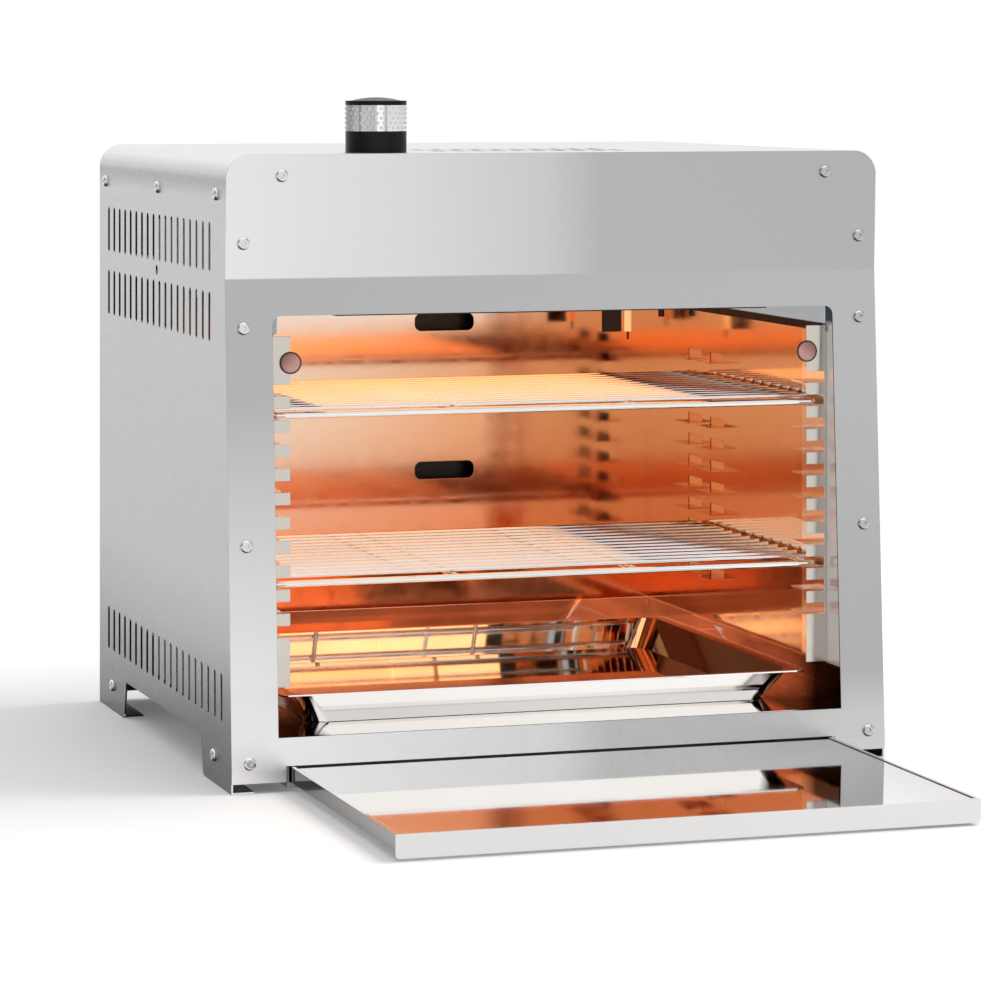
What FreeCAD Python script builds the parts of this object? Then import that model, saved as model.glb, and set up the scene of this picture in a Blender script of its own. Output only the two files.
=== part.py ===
import FreeCAD, Part
import math
import os
import Sketcher

# Infrared gas grill: a bent stainless casing round a cooking cavity, an overhead ceramic burner,
# a top mounted gas valve with its knob, two wire racks, a food pan and a drip drawer underneath.
# Millimetres, +X to the viewer's right, +Y to the back, +Z up, the feet stand on Z = 0.

# Driving dimensions
SIZES = {
    # casing
    "casing_w": 450.0,
    "casing_h": 407.0,
    "casing_d": 384.0,
    "front_y": -80.0,
    "sheet_t": 1.2,
    "bend_r": 16.0,
    "side_flange": 20.0,
    "rear_flange": 16.0,
    "foot_flange": 14.0,
    "foot_h": 26.5,
    "foot_front_d": 77.0,
    "foot_rear_d": 82.0,
    "foot_taper": 7.0,
    "foot_r": 5.0,
    "slot_w": 6.0,
    "slot_len": 32.2,
    "slot_first": 45.5,
    "slot_end": 31.65,
    "slot_count": 18.0,
    "slot_row_top_drop": 76.8,
    "slot_row_mid_drop": 122.2,
    "slot_low_first": 13.2,
    "slot_low_count": 20.0,
    "slot_low_len": 30.6,
    "slot_low_z": 43.0,
    "side_hole_y": 198.2,
    "side_hole_drop": 86.6,
    "side_hole_len": 7.0,
    "side_hole_w": 6.0,
    "vent_half": 63.0,
    "vent_count": 10.0,
    "vent_len": 34.0,
    "vent_front_y": 52.0,
    "vent_rear_y": 96.0,
    # front panel
    "fascia_h": 80.0,
    "fascia_lean": 3.2,
    "panel_foot_z": 14.4,
    "panel_flare": 14.8,
    "panel_base_z": 6.5,
    "opening_margin": 31.0,
    "opening_drop": 104.0,
    "opening_sill": 0.4,
    "opening_r": 6.0,
    # back panel
    "back_inset": 4.0,
    "back_base_z": 6.5,
    "back_slot_margin": 72.0,
    "back_slot_count": 18.0,
    # fasteners
    "screw_head_d": 8.4,
    "screw_head_h": 2.3,
    "screw_shank_d": 4.0,
    "screw_length": 8.0,
    "screw_key": 2.5,
    "screw_key_depth": 1.4,
    "hole_gap": 0.2,
    "tap_gap": 0.05,
    "screw_top_margin": 36.9,
    "screw_top_drop": 13.8,
    "screw_side_margin": 11.8,
    "screw_upper_drop": 57.1,
    "screw_corner_drop": 111.6,
    "screw_middle_drop": 250.2,
    "screw_low_z": 19.3,
    "side_screw_drop": 26.0,
    "side_screw_front": 26.0,
    "side_screw_rear_gap": 22.5,
    "foot_screw_z": 18.3,
    "foot_screw_front": 31.3,
    "foot_screw_rear_gap": 46.3,
    "back_screw_side": 11.0,
    "back_screw_low_z": 60.0,
    "back_screw_mid_drop": 192.0,
    "back_screw_high_drop": 37.0,
    "back_screw_top_margin": 115.0,
    # base and drawer
    "floor_z": 35.0,
    "tub_t": 1.0,
    "tub_wall_h": 27.0,
    "base_gap": 0.6,
    "ear_half": 17.0,
    "ear_base_z": 8.0,
    "tray_inset": 8.3,
    "tray_out": 252.0,
    "tray_len_less": 42.0,
    "tray_top_z": 16.2,
    "tray_t": 1.0,
    "tray_rim_h": 0.6,
    "tray_rim_w": 2.6,
    "tray_wall_base_z": 6.2,
    "tray_lip_base_z": 1.6,
    "tray_lip_t": 1.2,
    "tray_lip_r": 3.0,
    "tray_hem": 8.0,
    "rail_gap": 0.9,
    "rail_base_z": 2.5,
    "rail_lip_h": 3.5,
    "rail_lip_w": 6.5,
    "rail_flange": 14.0,
    "rail_rear_gap": 39.0,
    "notch_gap": 0.35,
    "notch_side_gap": 0.6,
    # cavity liner
    "liner_t": 0.8,
    "liner_step": 0.5,
    "liner_rear_gap": 18.0,
    "liner_lap": 1.0,
    "liner_flange": 7.5,
    "ceiling_step": 0.6,
    "window_x": 33.0,
    "window_w": 46.0,
    "window_h": 13.0,
    "window_r": 5.0,
    "window_top_drop": 36.1,
    "window_low_drop": 146.6,
    "deflector_drop": 12.6,
    "deflector_lip": 6.0,
    "deflector_gap": 0.9,
    "deflector_slope": 3.0,
    "deflector_front": 6.0,
    "deflector_rear_gap": 93.0,
    # rack supports
    "level_count": 11.0,
    "level_drop": 52.4,
    "level_foot": 32.6,
    "upper_level": 1.0,
    "middle_level": 8.0,
    "comb_y": 12.0,
    "comb_w": 15.0,
    "comb_d": 42.0,
    "comb_top_drop": 13.8,
    "notch_h": 7.6,
    "notch_root": 2.2,
    "ledge_in": 11.0,
    "ledge_front": 26.0,
    "ledge_d": 20.0,
    "stop_disc_r": 7.2,
    "stop_disc_drop": 31.0,
    "tab_rear_gap": 179.0,
    "tab_d": 28.0,
    "tab_pitch": 45.0,
    "tab_in": 11.5,
    "tab_window_h": 5.5,
    # racks and pan
    "rack_front": 20.0,
    "rack_rear_gap": 119.0,
    "rack_inset": 8.0,
    "rack_bar_r": 2.2,
    "rack_rod_r": 1.5,
    "rack_rod_over": 3.0,
    "rack_rod_count": 13.0,
    "rest_gap": 0.2,
    "pan_front": 20.0,
    "pan_rear_gap": 84.0,
    "pan_inset": 11.5,
    "pan_h": 20.8,
    "pan_t": 1.0,
    "pan_side_flange": 9.0,
    "pan_end_flange": 2.5,
    "pan_slope": 13.0,
    "pan_corner_r": 14.0,
    # burner
    "burner_inset": 44.5,
    "burner_front": 10.0,
    "burner_rear_gap": 90.0,
    "burner_h": 27.6,
    "tile_margin_x": 10.0,
    "tile_margin_y": 9.0,
    "tile_h": 13.0,
    "tile_gap": 2.0,
    "tile_cols": 3.0,
    "tile_rows": 2.0,
    "tile_drop": 0.6,
    "gasket_w": 3.0,
    "gasket_gap": 0.2,
    "frame_lap": 4.0,
    "frame_w": 13.5,
    "diffuser_inset": 30.0,
    "diffuser_drop": 9.0,
    "diffuser_hole_r": 5.0,
    "mixer_r": 12.0,
    "mixer_t": 1.2,
    "mixer_y": 150.0,
    "mixer_inset": 20.0,
    "mixer_gap": 0.6,
    "throat_w": 40.0,
    "shield_gap": 3.0,
    "shield_rear_gap": 24.0,
    "hanger_front": 14.0,
    "hanger_rear_gap": 14.0,
    "hanger_lap": 8.0,
    "hanger_drop": 19.0,
    # valve and knob
    "knob_margin": 110.5,
    "valve_y": 38.0,
    "valve_w": 40.0,
    "valve_d": 26.0,
    "valve_h": 23.0,
    "valve_drop": 20.0,
    "valve_corner_r": 3.0,
    "bonnet_t": 3.0,
    "valve_screw_x": 15.0,
    "port_r": 3.0,
    "plug_r": 7.0,
    "plug_taper": 1.0,
    "plug_base": 2.0,
    "plug_relief": 0.3,
    "plug_h": 13.0,
    "plug_floor": 1.8,
    "stem_r": 4.0,
    "stem_rise": 9.0,
    "tang_t": 3.0,
    "tang_w": 7.0,
    "tang_base": 5.0,
    "tang_top_drop": 4.0,
    "tang_gap": 0.2,
    "run_gap": 0.05,
    "seat_r": 8.5,
    "seat_t": 1.2,
    "spring_r": 6.2,
    "spring_wire_r": 0.55,
    "spring_turns": 4.0,
    "spring_gap": 0.05,
    "bracket_w": 90.0,
    "bracket_d": 28.0,
    "bracket_flange": 12.0,
    "knob_r": 20.1,
    "knob_gap": 0.7,
    "knob_sink": 5.0,
    "knob_skirt_rise": 14.0,
    "knob_wall": 2.5,
    "knob_top_t": 3.0,
    "hub_r": 7.5,
    "hub_sink": 7.0,
    "ring_h": 17.2,
    "ring_wall": 5.0,
    "ring_inset": 0.2,
    "cap_rim_h": 2.8,
    "cap_dome_h": 2.2,
    "cap_dome_r": 16.5,
    # gas train and ignition
    "inlet_margin": 75.0,
    "gas_drop": 30.0,
    "inlet_r": 7.94,
    "inlet_root_r": 7.4,
    "inlet_relief": 0.8,
    "inlet_bore_r": 4.0,
    "inlet_thread": 20.5,
    "inlet_flange_r": 11.0,
    "inlet_flange_t": 9.0,
    "nut_af_r": 11.5,
    "nut_t": 5.5,
    "pipe_r": 4.0,
    "pipe_wall": 1.0,
    "pipe_bend_r": 16.0,
    "pipe_step": 4.0,
    "pipe_run": 42.0,
    "feed_reach": 31.5,
    "feed_drop": 35.0,
    "orifice_r": 5.0,
    "orifice_len": 9.0,
    "orifice_in": 3.0,
    "orifice_bore_r": 1.0,
    "magnet_r": 6.5,
    "magnet_len": 24.0,
    "magnet_drop": 36.0,
    "piezo_w": 26.0,
    "piezo_d": 20.0,
    "piezo_h": 11.0,
    "electrode_out": 5.6,
    "igniter_rear_gap": 82.0,
    "electrode_r": 2.6,
    "electrode_reach": 35.6,
    "electrode_top_drop": 6.0,
    "electrode_pin_r": 0.8,
    "electrode_pin_len": 6.0,
    "flag_in": 7.0,
    "flag_w": 15.0,
    "flag_reach": 35.8,
    "couple_inset": 12.5,
    "couple_r": 2.3,
    "couple_reach": 25.3,
    "couple_top_drop": 2.0,
    "lead_r": 1.2,
    "lead_bend_r": 8.0,
    "lead_run": 30.0,
    "lead_hole_r": 4.0,
}

doc = FreeCAD.newDocument("infrared_gas_grill")
sheet = doc.addObject("Spreadsheet::Sheet", "Sizes")
for row, (alias, amount) in enumerate(SIZES.items(), start=1):
    sheet.set("A%d" % row, alias)
    sheet.set("B%d" % row, "%g" % amount)
    sheet.setAlias("B%d" % row, alias)
doc.recompute()


class Size:
    """A length that carries both its number and its spreadsheet expression."""

    def __init__(self, number, text):
        self.number = float(number)
        self.text = text

    def __add__(self, other):
        other = as_size(other)
        return Size(self.number + other.number, "(%s + %s)" % (self.text, other.text))

    def __sub__(self, other):
        other = as_size(other)
        return Size(self.number - other.number, "(%s - %s)" % (self.text, other.text))

    def __mul__(self, other):
        other = as_size(other)
        return Size(self.number * other.number, "(%s * %s)" % (self.text, other.text))

    def __truediv__(self, other):
        other = as_size(other)
        return Size(self.number / other.number, "(%s / %s)" % (self.text, other.text))

    def __neg__(self):
        return Size(-self.number, "(0 - %s)" % self.text)

    def __radd__(self, other):
        return as_size(other) + self

    def __rsub__(self, other):
        return as_size(other) - self

    def __rmul__(self, other):
        return as_size(other) * self


def as_size(value):
    return value if isinstance(value, Size) else Size(value, "(%r)" % float(value))


class SheetSizes:
    """Reads a named size from the sheet, as a number with its expression."""

    def __getattr__(self, alias):
        return Size(sheet.get(alias), "Sizes." + alias)


S = SheetSizes()
nodes = []


def bind(thing, path, size):
    thing.setExpression(path, as_size(size).text)


def keep(thing, label):
    """Marks an object as one sub-part of the grill, under its node name."""
    thing.Label = label
    nodes.append(thing)
    return thing


# Sketch helpers
def new_body(name):
    return doc.addObject("PartDesign::Body", name)


def new_sketch(body, plane, at):
    """A sketch on one of the body's origin planes, moved along that plane's world axis."""
    sketch = body.newObject("Sketcher::SketchObject", body.Name + "_sketch")
    support = [f for f in body.Origin.OriginFeatures if f.Role == plane + "_Plane"][0]
    sketch.AttachmentSupport = [(support, "")]
    sketch.MapMode = "FlatFace"
    offset = -as_size(at) if plane == "XZ" else as_size(at)
    bind(sketch, ".AttachmentOffset.Base.z", offset)
    return sketch


def place_point(sketch, geometry, position, x, y):
    """Fixes one point of the sketch at two bound distances from the origin."""
    for kind, value in (("DistanceX", x), ("DistanceY", y)):
        value = as_size(value)
        index = sketch.addConstraint(Sketcher.Constraint(kind, -1, 1, geometry, position, value.number))
        sketch.renameConstraint(index, "set%d" % index)
        bind(sketch, "Constraints.set%d" % index, value)


def set_radius(sketch, geometry, radius):
    radius = as_size(radius)
    index = sketch.addConstraint(Sketcher.Constraint("Radius", geometry, radius.number))
    sketch.renameConstraint(index, "set%d" % index)
    bind(sketch, "Constraints.set%d" % index, radius)


def flat(x, y):
    return FreeCAD.Vector(as_size(x).number, as_size(y).number, 0)


def outline(sketch, corners):
    """A closed outline through the corners; a third value rounds that corner."""
    count = len(corners)
    points = [flat(c[0], c[1]) for c in corners]
    starts, ends, arcs = list(points), list(points), {}
    for i, corner in enumerate(corners):
        if len(corner) < 3:
            continue
        radius = as_size(corner[2]).number
        back = (points[i - 1] - points[i]).normalize()
        onward = (points[(i + 1) % count] - points[i]).normalize()
        half = back.getAngle(onward) / 2
        reach = radius / math.tan(half)
        middle = points[i] + (back + onward).normalize() * (radius / math.sin(half))
        ends[i] = points[i] + back * reach
        starts[i] = points[i] + onward * reach
        bulge = middle + (points[i] - middle).normalize() * radius
        arcs[i] = Part.Arc(ends[i], bulge, starts[i])
    lines = [sketch.addGeometry(Part.LineSegment(starts[i], ends[(i + 1) % count]), False)
             for i in range(count)]
    for i, corner in enumerate(corners):
        before, after = lines[i - 1], lines[i]
        if i not in arcs:
            sketch.addConstraint(Sketcher.Constraint("Coincident", before, 2, after, 1))
            place_point(sketch, after, 1, corner[0], corner[1])
            continue
        arc = sketch.addGeometry(arcs[i], False)
        first = sketch.getPoint(arc, 1)
        near_end = (first - ends[i]).Length < (first - starts[i]).Length
        tail, head = (1, 2) if near_end else (2, 1)
        mark = sketch.addGeometry(Part.Point(points[i]), True)
        sketch.addConstraint(Sketcher.Constraint("Tangent", before, 2, arc, tail))
        sketch.addConstraint(Sketcher.Constraint("Tangent", after, 1, arc, head))
        sketch.addConstraint(Sketcher.Constraint("PointOnObject", mark, 1, before))
        sketch.addConstraint(Sketcher.Constraint("PointOnObject", mark, 1, after))
        place_point(sketch, mark, 1, corner[0], corner[1])
        set_radius(sketch, arc, corner[2])


def rectangle(sketch, x0, y0, x1, y1, radius=None):
    corners = [(x0, y0), (x1, y0), (x1, y1), (x0, y1)]
    outline(sketch, [c + (radius,) for c in corners] if radius is not None else corners)


def disc(sketch, x, y, radius):
    round_line = Part.Circle(flat(x, y), FreeCAD.Vector(0, 0, 1), as_size(radius).number)
    circle = sketch.addGeometry(round_line, False)
    place_point(sketch, circle, 3, x, y)
    set_radius(sketch, circle, radius)


def slot(sketch, x, low, high, width):
    """An upright slot with round ends, centred on x, from low to high."""
    radius = as_size(width) / 2
    r, bottom, top = radius.number, as_size(low) + radius, as_size(high) - radius
    lower, upper = flat(x, bottom), flat(x, top)
    across, up = FreeCAD.Vector(r, 0, 0), FreeCAD.Vector(0, r, 0)
    right = sketch.addGeometry(Part.LineSegment(lower + across, upper + across), False)
    left = sketch.addGeometry(Part.LineSegment(upper - across, lower - across), False)
    cap = sketch.addGeometry(Part.Arc(upper + across, upper + up, upper - across), False)
    cup = sketch.addGeometry(Part.Arc(lower - across, lower - up, lower + across), False)
    for line, end, arc, side in ((right, 2, cap, 1), (left, 1, cap, 2), (left, 2, cup, 1),
                                 (right, 1, cup, 2)):
        sketch.addConstraint(Sketcher.Constraint("Tangent", line, end, arc, side))
    place_point(sketch, cap, 3, x, top)
    place_point(sketch, cup, 3, x, bottom)
    set_radius(sketch, cap, radius)


# Feature helpers
def turned_back(plane):
    """The XZ plane faces -Y, so what grows towards +Y is reversed on it."""
    return plane == "XZ"


def pad(body, plane, at, length, draw):
    """Adds material from the plane at the given place, towards the positive axis."""
    sketch = new_sketch(body, plane, at)
    draw(sketch)
    feature = body.newObject("PartDesign::Pad", body.Name + "_pad")
    feature.Profile = sketch
    feature.Reversed = turned_back(plane)
    bind(feature, "Length", length)
    doc.recompute()
    return feature


def cut(body, plane, at, length, draw):
    """Removes material from the plane at the given place, towards the positive axis."""
    before = body.Shape.Volume
    sketch = new_sketch(body, plane, at)
    draw(sketch)
    feature = body.newObject("PartDesign::Pocket", body.Name + "_cut")
    feature.Profile = sketch
    feature.Reversed = not turned_back(plane)
    bind(feature, "Length", length)
    doc.recompute()
    if body.Shape.Volume >= before:
        raise RuntimeError("a cut in %s removes nothing" % body.Name)
    return feature


def repeat(body, feature, axis, pitch, count):
    """Repeats a feature along one of the body's axes."""
    pattern = body.newObject("PartDesign::LinearPattern", body.Name + "_row")
    direction = [f for f in body.Origin.OriginFeatures if f.Role == axis + "_Axis"][0]
    pattern.Originals = [feature]
    pattern.Direction = (direction, [""])
    pattern.Mode = "Spacing"
    pattern.Reversed = pitch.number < 0
    bind(pattern, "Offset", pitch if pitch.number > 0 else -pitch)
    bind(pattern, "Occurrences", count)
    body.Tip = pattern
    doc.recompute()
    return pattern


def turn(body, draw):
    """A solid of revolution about the Z axis, from a sketch in the XZ plane."""
    sketch = new_sketch(body, "XZ", 0)
    draw(sketch)
    feature = body.newObject("PartDesign::Revolution", body.Name + "_turn")
    feature.Profile = sketch
    feature.ReferenceAxis = (sketch, ["V_Axis"])
    feature.Angle = 360
    doc.recompute()
    return feature


def move(thing, x, y, z):
    for path, value in ((".Placement.Base.x", x), (".Placement.Base.y", y), (".Placement.Base.z", z)):
        bind(thing, path, value)
    return thing


def box(name, x0, x1, y0, y1, z0, z1):
    solid = doc.addObject("Part::Box", name)
    bind(solid, "Length", as_size(x1) - x0)
    bind(solid, "Width", as_size(y1) - y0)
    bind(solid, "Height", as_size(z1) - z0)
    return move(solid, x0, y0, z0)


ALONG = {
    "X": FreeCAD.Rotation(FreeCAD.Vector(0, 1, 0), 90),
    "Y": FreeCAD.Rotation(FreeCAD.Vector(1, 0, 0), -90),
    "Z": FreeCAD.Rotation(),
}


def rod(name, axis, x, y, z, radius, length):
    """A round bar from the given point along the positive axis."""
    solid = doc.addObject("Part::Cylinder", name)
    solid.Placement = FreeCAD.Placement(FreeCAD.Vector(), ALONG[axis])
    bind(solid, "Radius", radius)
    bind(solid, "Height", length)
    return move(solid, x, y, z)


def fuse(name, pieces):
    joined = doc.addObject("Part::MultiFuse", name)
    joined.Shapes = pieces
    return joined


def subtract(name, base, tool):
    cutting = doc.addObject("Part::Cut", name)
    cutting.Base, cutting.Tool = base, tool
    return cutting


def round_edges(name, base, radius, chosen):
    """Rounds the edges of the base that the test picks."""
    doc.recompute()
    rounded = doc.addObject("Part::Fillet", name)
    rounded.Base = base
    picked = [i for i, edge in enumerate(base.Shape.Edges, start=1) if chosen(edge)]
    rounded.Edges = [(i, radius.number, radius.number) for i in picked]
    return rounded


def bent_tube(name, route, radius, bore, bend):
    """A tube along straight runs joined by tangent arcs."""
    points = [FreeCAD.Vector(*[as_size(v).number for v in point]) for point in route]
    edges, last = [], points[0]
    for before, corner, after in zip(points, points[1:], points[2:]):
        back, onward = (before - corner).normalize(), (after - corner).normalize()
        half = back.getAngle(onward) / 2
        reach = bend.number / math.tan(half)
        start, end = corner + back * reach, corner + onward * reach
        centre = corner + (back + onward).normalize() * (bend.number / math.sin(half))
        middle = centre + (corner - centre).normalize() * bend.number
        edges += [Part.LineSegment(last, start).toShape(), Part.Arc(start, middle, end).toShape()]
        last = end
    edges.append(Part.LineSegment(last, points[-1]).toShape())
    spine = Part.Wire(edges)
    heading = points[1] - points[0]

    def swept(r):
        ring = Part.Wire(Part.makeCircle(r, points[0], heading))
        return spine.makePipeShell([ring], True, False)

    solid = swept(radius.number)
    if bore is not None:
        solid = solid.cut(swept(bore.number))
    tube = doc.addObject("Part::Feature", name)
    tube.Shape = solid
    tube.Placement = FreeCAD.Placement()
    return tube


# Places that many pieces share
HALF = S.casing_w / 2
INNER = HALF - S.sheet_t
TOP = S.casing_h
UNDER_TOP = TOP - S.sheet_t
REAR = S.front_y + S.casing_d
FOLD_Z = TOP - S.fascia_h
OPEN_HALF = HALF - S.opening_margin
OPEN_TOP = TOP - S.opening_drop
TUB_TOP = S.floor_z + S.tub_wall_h
LINER = OPEN_HALF + S.liner_step
LINER_BASE = TUB_TOP - S.liner_lap
CEILING = OPEN_TOP + S.ceiling_step
BURNER_HALF = LINER - S.burner_inset
TRAY_HALF = LINER - S.tray_inset
KNOB_X = -(HALF - S.knob_margin)
INLET_X = -(HALF - S.inlet_margin)
GAS_Z = TOP - S.gas_drop
FEED_Z = TOP - S.feed_drop
VALVE_TOP = TOP - S.valve_drop
VALVE_BASE = VALVE_TOP - S.valve_h
SLOT_ROWS = (TOP - S.slot_row_top_drop, TOP - S.slot_row_mid_drop)


def y_at(depth):
    """A depth behind the top edge of the front panel, as a Y coordinate."""
    return S.front_y + depth


def panel_y(z, behind=0):
    """The Y of the front panel's outer face at a height, or of a plane behind it."""
    z = as_size(z)
    if z.number >= FOLD_Z.number:
        lean = S.fascia_lean * (TOP - z) / S.fascia_h
    else:
        share = (FOLD_Z - z) / (FOLD_Z - S.panel_foot_z)
        lean = S.fascia_lean - (S.fascia_lean + S.panel_flare) * share
    return S.front_y + lean + behind


FOOT_Y = S.front_y - S.panel_flare
BEFORE = FOOT_Y - 30
HOLE_R = S.screw_shank_d / 2 + S.hole_gap
TUB_BASE = S.floor_z - S.tub_t
FLOOR_UNDER = TUB_BASE - S.sheet_t

FRONT_SCREWS = [(side * (HALF - S.screw_top_margin), TOP - S.screw_top_drop) for side in (-1, 1)]
FRONT_SCREWS += [(side * (HALF - S.screw_side_margin), z) for side in (-1, 1)
                 for z in (TOP - S.screw_upper_drop, TOP - S.screw_corner_drop, TOP - S.screw_middle_drop,
                           S.screw_low_z)]
TOP_SCREW_DEPTHS = (S.side_screw_front, (S.side_screw_front + S.casing_d - S.side_screw_rear_gap) / 2,
                    S.casing_d - S.side_screw_rear_gap)
FOOT_SCREW_DEPTHS = (S.foot_screw_front, S.casing_d - S.foot_screw_rear_gap)
SIDE_SCREWS = [(depth, TOP - S.side_screw_drop) for depth in TOP_SCREW_DEPTHS]
SIDE_SCREWS += [(depth, S.foot_screw_z) for depth in FOOT_SCREW_DEPTHS]
BACK_SCREWS = [(side * (INNER - S.back_screw_side), z) for side in (-1, 1)
               for z in (S.back_screw_low_z, TOP - S.back_screw_mid_drop, TOP - S.back_screw_high_drop)]
BACK_SCREWS += [(side * (HALF - S.back_screw_top_margin), UNDER_TOP - S.back_screw_side) for side in (-1, 1)]
LEVEL_TOP = OPEN_TOP - S.level_drop
LEVEL_PITCH = (LEVEL_TOP - TUB_TOP - S.level_foot) / (S.level_count - 1)


def level_z(index):
    """The top of the rack ledge at a level, counted down from the highest."""
    return LEVEL_TOP - LEVEL_PITCH * index


# Casing: one bent sheet for both sides, the top and the feet
def casing_shell():
    body = new_body("casing_sheet")
    start = BEFORE
    pad(body, "XZ", start, REAR - start, lambda sketch: outline(sketch, [
        (-HALF, 0), (-HALF, TOP, S.bend_r), (HALF, TOP, S.bend_r), (HALF, 0), (INNER, 0),
        (INNER, UNDER_TOP, S.bend_r - S.sheet_t), (-INNER, UNDER_TOP, S.bend_r - S.sheet_t), (-INNER, 0)]))
    cut(body, "YZ", -HALF - 5, S.casing_w + 10, lambda sketch: outline(sketch, [
        (start - 5, -5), (FOOT_Y + S.sheet_t, -5), (FOOT_Y + S.sheet_t, S.panel_foot_z),
        (panel_y(FOLD_Z, S.sheet_t), FOLD_Z), (panel_y(TOP, S.sheet_t), TOP),
        (panel_y(TOP, S.sheet_t), TOP + 5), (start - 5, TOP + 5)]))
    foot_front = FOOT_Y + S.foot_front_d
    foot_rear = REAR - S.foot_rear_d
    cut(body, "YZ", -HALF - 5, S.casing_w + 10, lambda sketch: outline(sketch, [
        (foot_front, -1), (foot_front + S.foot_taper, S.foot_h), (foot_rear - S.foot_taper, S.foot_h),
        (foot_rear, -1)]))
    cut_sheet = body.Tip
    ends = [place.number for place in (foot_front, foot_rear)]
    picked = ["Edge%d" % i for i, edge in enumerate(cut_sheet.Shape.Edges, start=1)
              if edge.BoundBox.ZMax < 0.01 and edge.BoundBox.YLength < 0.01
              and min(abs(edge.BoundBox.YMin - end) for end in ends) < 0.5]
    corner = body.newObject("PartDesign::Fillet", "foot_corners")
    corner.Base = (cut_sheet, picked)
    bind(corner, "Radius", S.foot_r)
    doc.recompute()
    for side in (-1, 1):
        outer, inner = side * INNER, side * (INNER - S.foot_flange)
        for low, high in ((FOOT_Y + S.sheet_t, foot_front - S.foot_r), (foot_rear + S.foot_r, REAR)):
            pad(body, "XY", 0, S.sheet_t, lambda sketch: rectangle(sketch, inner, low, outer, high))
    front_flange(body)
    rear_flange(body)
    round_openings(body)
    slots = doc.addObject("Part::Compound", "casing_slots")
    slots.Links = side_slots() + top_slots()
    return keep(subtract("casing_shell", body, slots), "casing_shell")


def front_flange(body):
    """The turned-in front edge that the front panel is screwed to."""
    base = S.panel_base_z + 1
    near, far = S.sheet_t, S.sheet_t * 2
    pad(body, "YZ", -INNER, INNER * 2, lambda sketch: outline(sketch, [
        (FOOT_Y + near, base), (FOOT_Y + near, S.panel_foot_z), (panel_y(FOLD_Z, near), FOLD_Z),
        (panel_y(UNDER_TOP, near), UNDER_TOP), (panel_y(UNDER_TOP, far), UNDER_TOP),
        (panel_y(FOLD_Z, far), FOLD_Z), (FOOT_Y + far, S.panel_foot_z), (FOOT_Y + far, base)]))
    side, top = INNER - S.side_flange, UNDER_TOP - S.side_flange
    cut(body, "XZ", BEFORE, S.front_y + 12 - BEFORE, lambda sketch: rectangle(sketch, -side, -5, side, top))

    def corners(sketch):
        clear = S.bend_r + 2
        for side in (-1, 1):
            outline(sketch, [
                (side * HALF, TOP, S.bend_r), (side * (HALF - clear), TOP), (side * (HALF - clear), TOP + 5),
                (side * (HALF + 5), TOP + 5), (side * (HALF + 5), TOP - clear), (side * HALF, TOP - clear)])

    cut(body, "XZ", BEFORE, S.front_y + 12 - BEFORE, corners)

    def holes(sketch):
        for x, z in FRONT_SCREWS:
            disc(sketch, x, z, HOLE_R)

    cut(body, "XZ", BEFORE, S.front_y + 12 - BEFORE, holes)


def rear_flange(body):
    """The turned-in rear edge that the back panel is screwed to."""
    start, base = REAR - S.sheet_t, S.back_base_z + 1
    pad(body, "XZ", start, S.sheet_t, lambda sketch: outline(sketch, [
        (-INNER, base), (INNER, base), (INNER, UNDER_TOP, S.bend_r - S.sheet_t),
        (-INNER, UNDER_TOP, S.bend_r - S.sheet_t)]))
    side, top = INNER - S.rear_flange, UNDER_TOP - S.rear_flange
    cut(body, "XZ", start - 2, S.sheet_t + 4, lambda sketch: rectangle(
        sketch, -side, base - 5, side, top))

    def holes(sketch):
        for x, z in BACK_SCREWS:
            disc(sketch, x, z, HOLE_R)

    cut(body, "XZ", start - 2, S.sheet_t + 4, holes)


def round_openings(body):
    """The screw holes through both sides, a small sight slot, and the hole for the knob."""

    def holes(sketch):
        for depth, z in SIDE_SCREWS:
            disc(sketch, y_at(depth), z, HOLE_R)
        low = TOP - S.side_hole_drop
        slot(sketch, y_at(S.side_hole_y), low, low + S.side_hole_len, S.side_hole_w)

    cut(body, "YZ", -HALF - 5, S.casing_w + 10, holes)
    cut(body, "XY", UNDER_TOP - 1, S.sheet_t + 2, lambda sketch: disc(
        sketch, KNOB_X, y_at(S.valve_y), S.knob_r + S.knob_gap))


def slot_cutter(name, plane, at, depth, length):
    """One slot as a solid, standing at the origin of its plane."""
    body = new_body(name)
    pad(body, plane, at, depth, lambda sketch: slot(sketch, 0, 0, length, S.slot_w))
    return body


def row_of(cutter, count, place):
    """Copies of one cutter, each put where the function says for its number."""
    copies = []
    for i in range(int(count.number)):
        copy = doc.addObject("App::Link", "%s_%d" % (cutter.Name, i + 1))
        copy.LinkedObject = cutter
        copies.append(move(copy, *place(Size(i, "%d" % i))))
    return copies


def side_slots():
    """Two rows of vents below the top and one row above the feet, through both sides."""
    left, across = -HALF - 5, S.casing_w + 10
    last = S.casing_d - S.slot_end
    cutter = slot_cutter("side_slot", "YZ", left, across, S.slot_len)
    pitch = (last - S.slot_first) / (S.slot_count - 1)
    copies = []
    for low in SLOT_ROWS:
        copies += row_of(cutter, S.slot_count, lambda i: (0, y_at(S.slot_first) + pitch * i, low))
    cutter = slot_cutter("low_slot", "YZ", left, across, S.slot_low_len)
    low_pitch = (last - S.slot_low_first) / (S.slot_low_count - 1)
    copies += row_of(cutter, S.slot_low_count, lambda i: (
        0, y_at(S.slot_low_first) + low_pitch * i, S.slot_low_z))
    return copies


def top_slots():
    """Two rows of vents in the top."""
    cutter = slot_cutter("top_slot", "XY", UNDER_TOP - 1, S.sheet_t + 2, S.vent_len)
    pitch = S.vent_half * 2 / (S.vent_count - 1)
    copies = []
    for depth in (S.vent_front_y, S.vent_rear_y):
        copies += row_of(cutter, S.vent_count, lambda i: (pitch * i - S.vent_half, y_at(depth), 0))
    return copies


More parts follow.
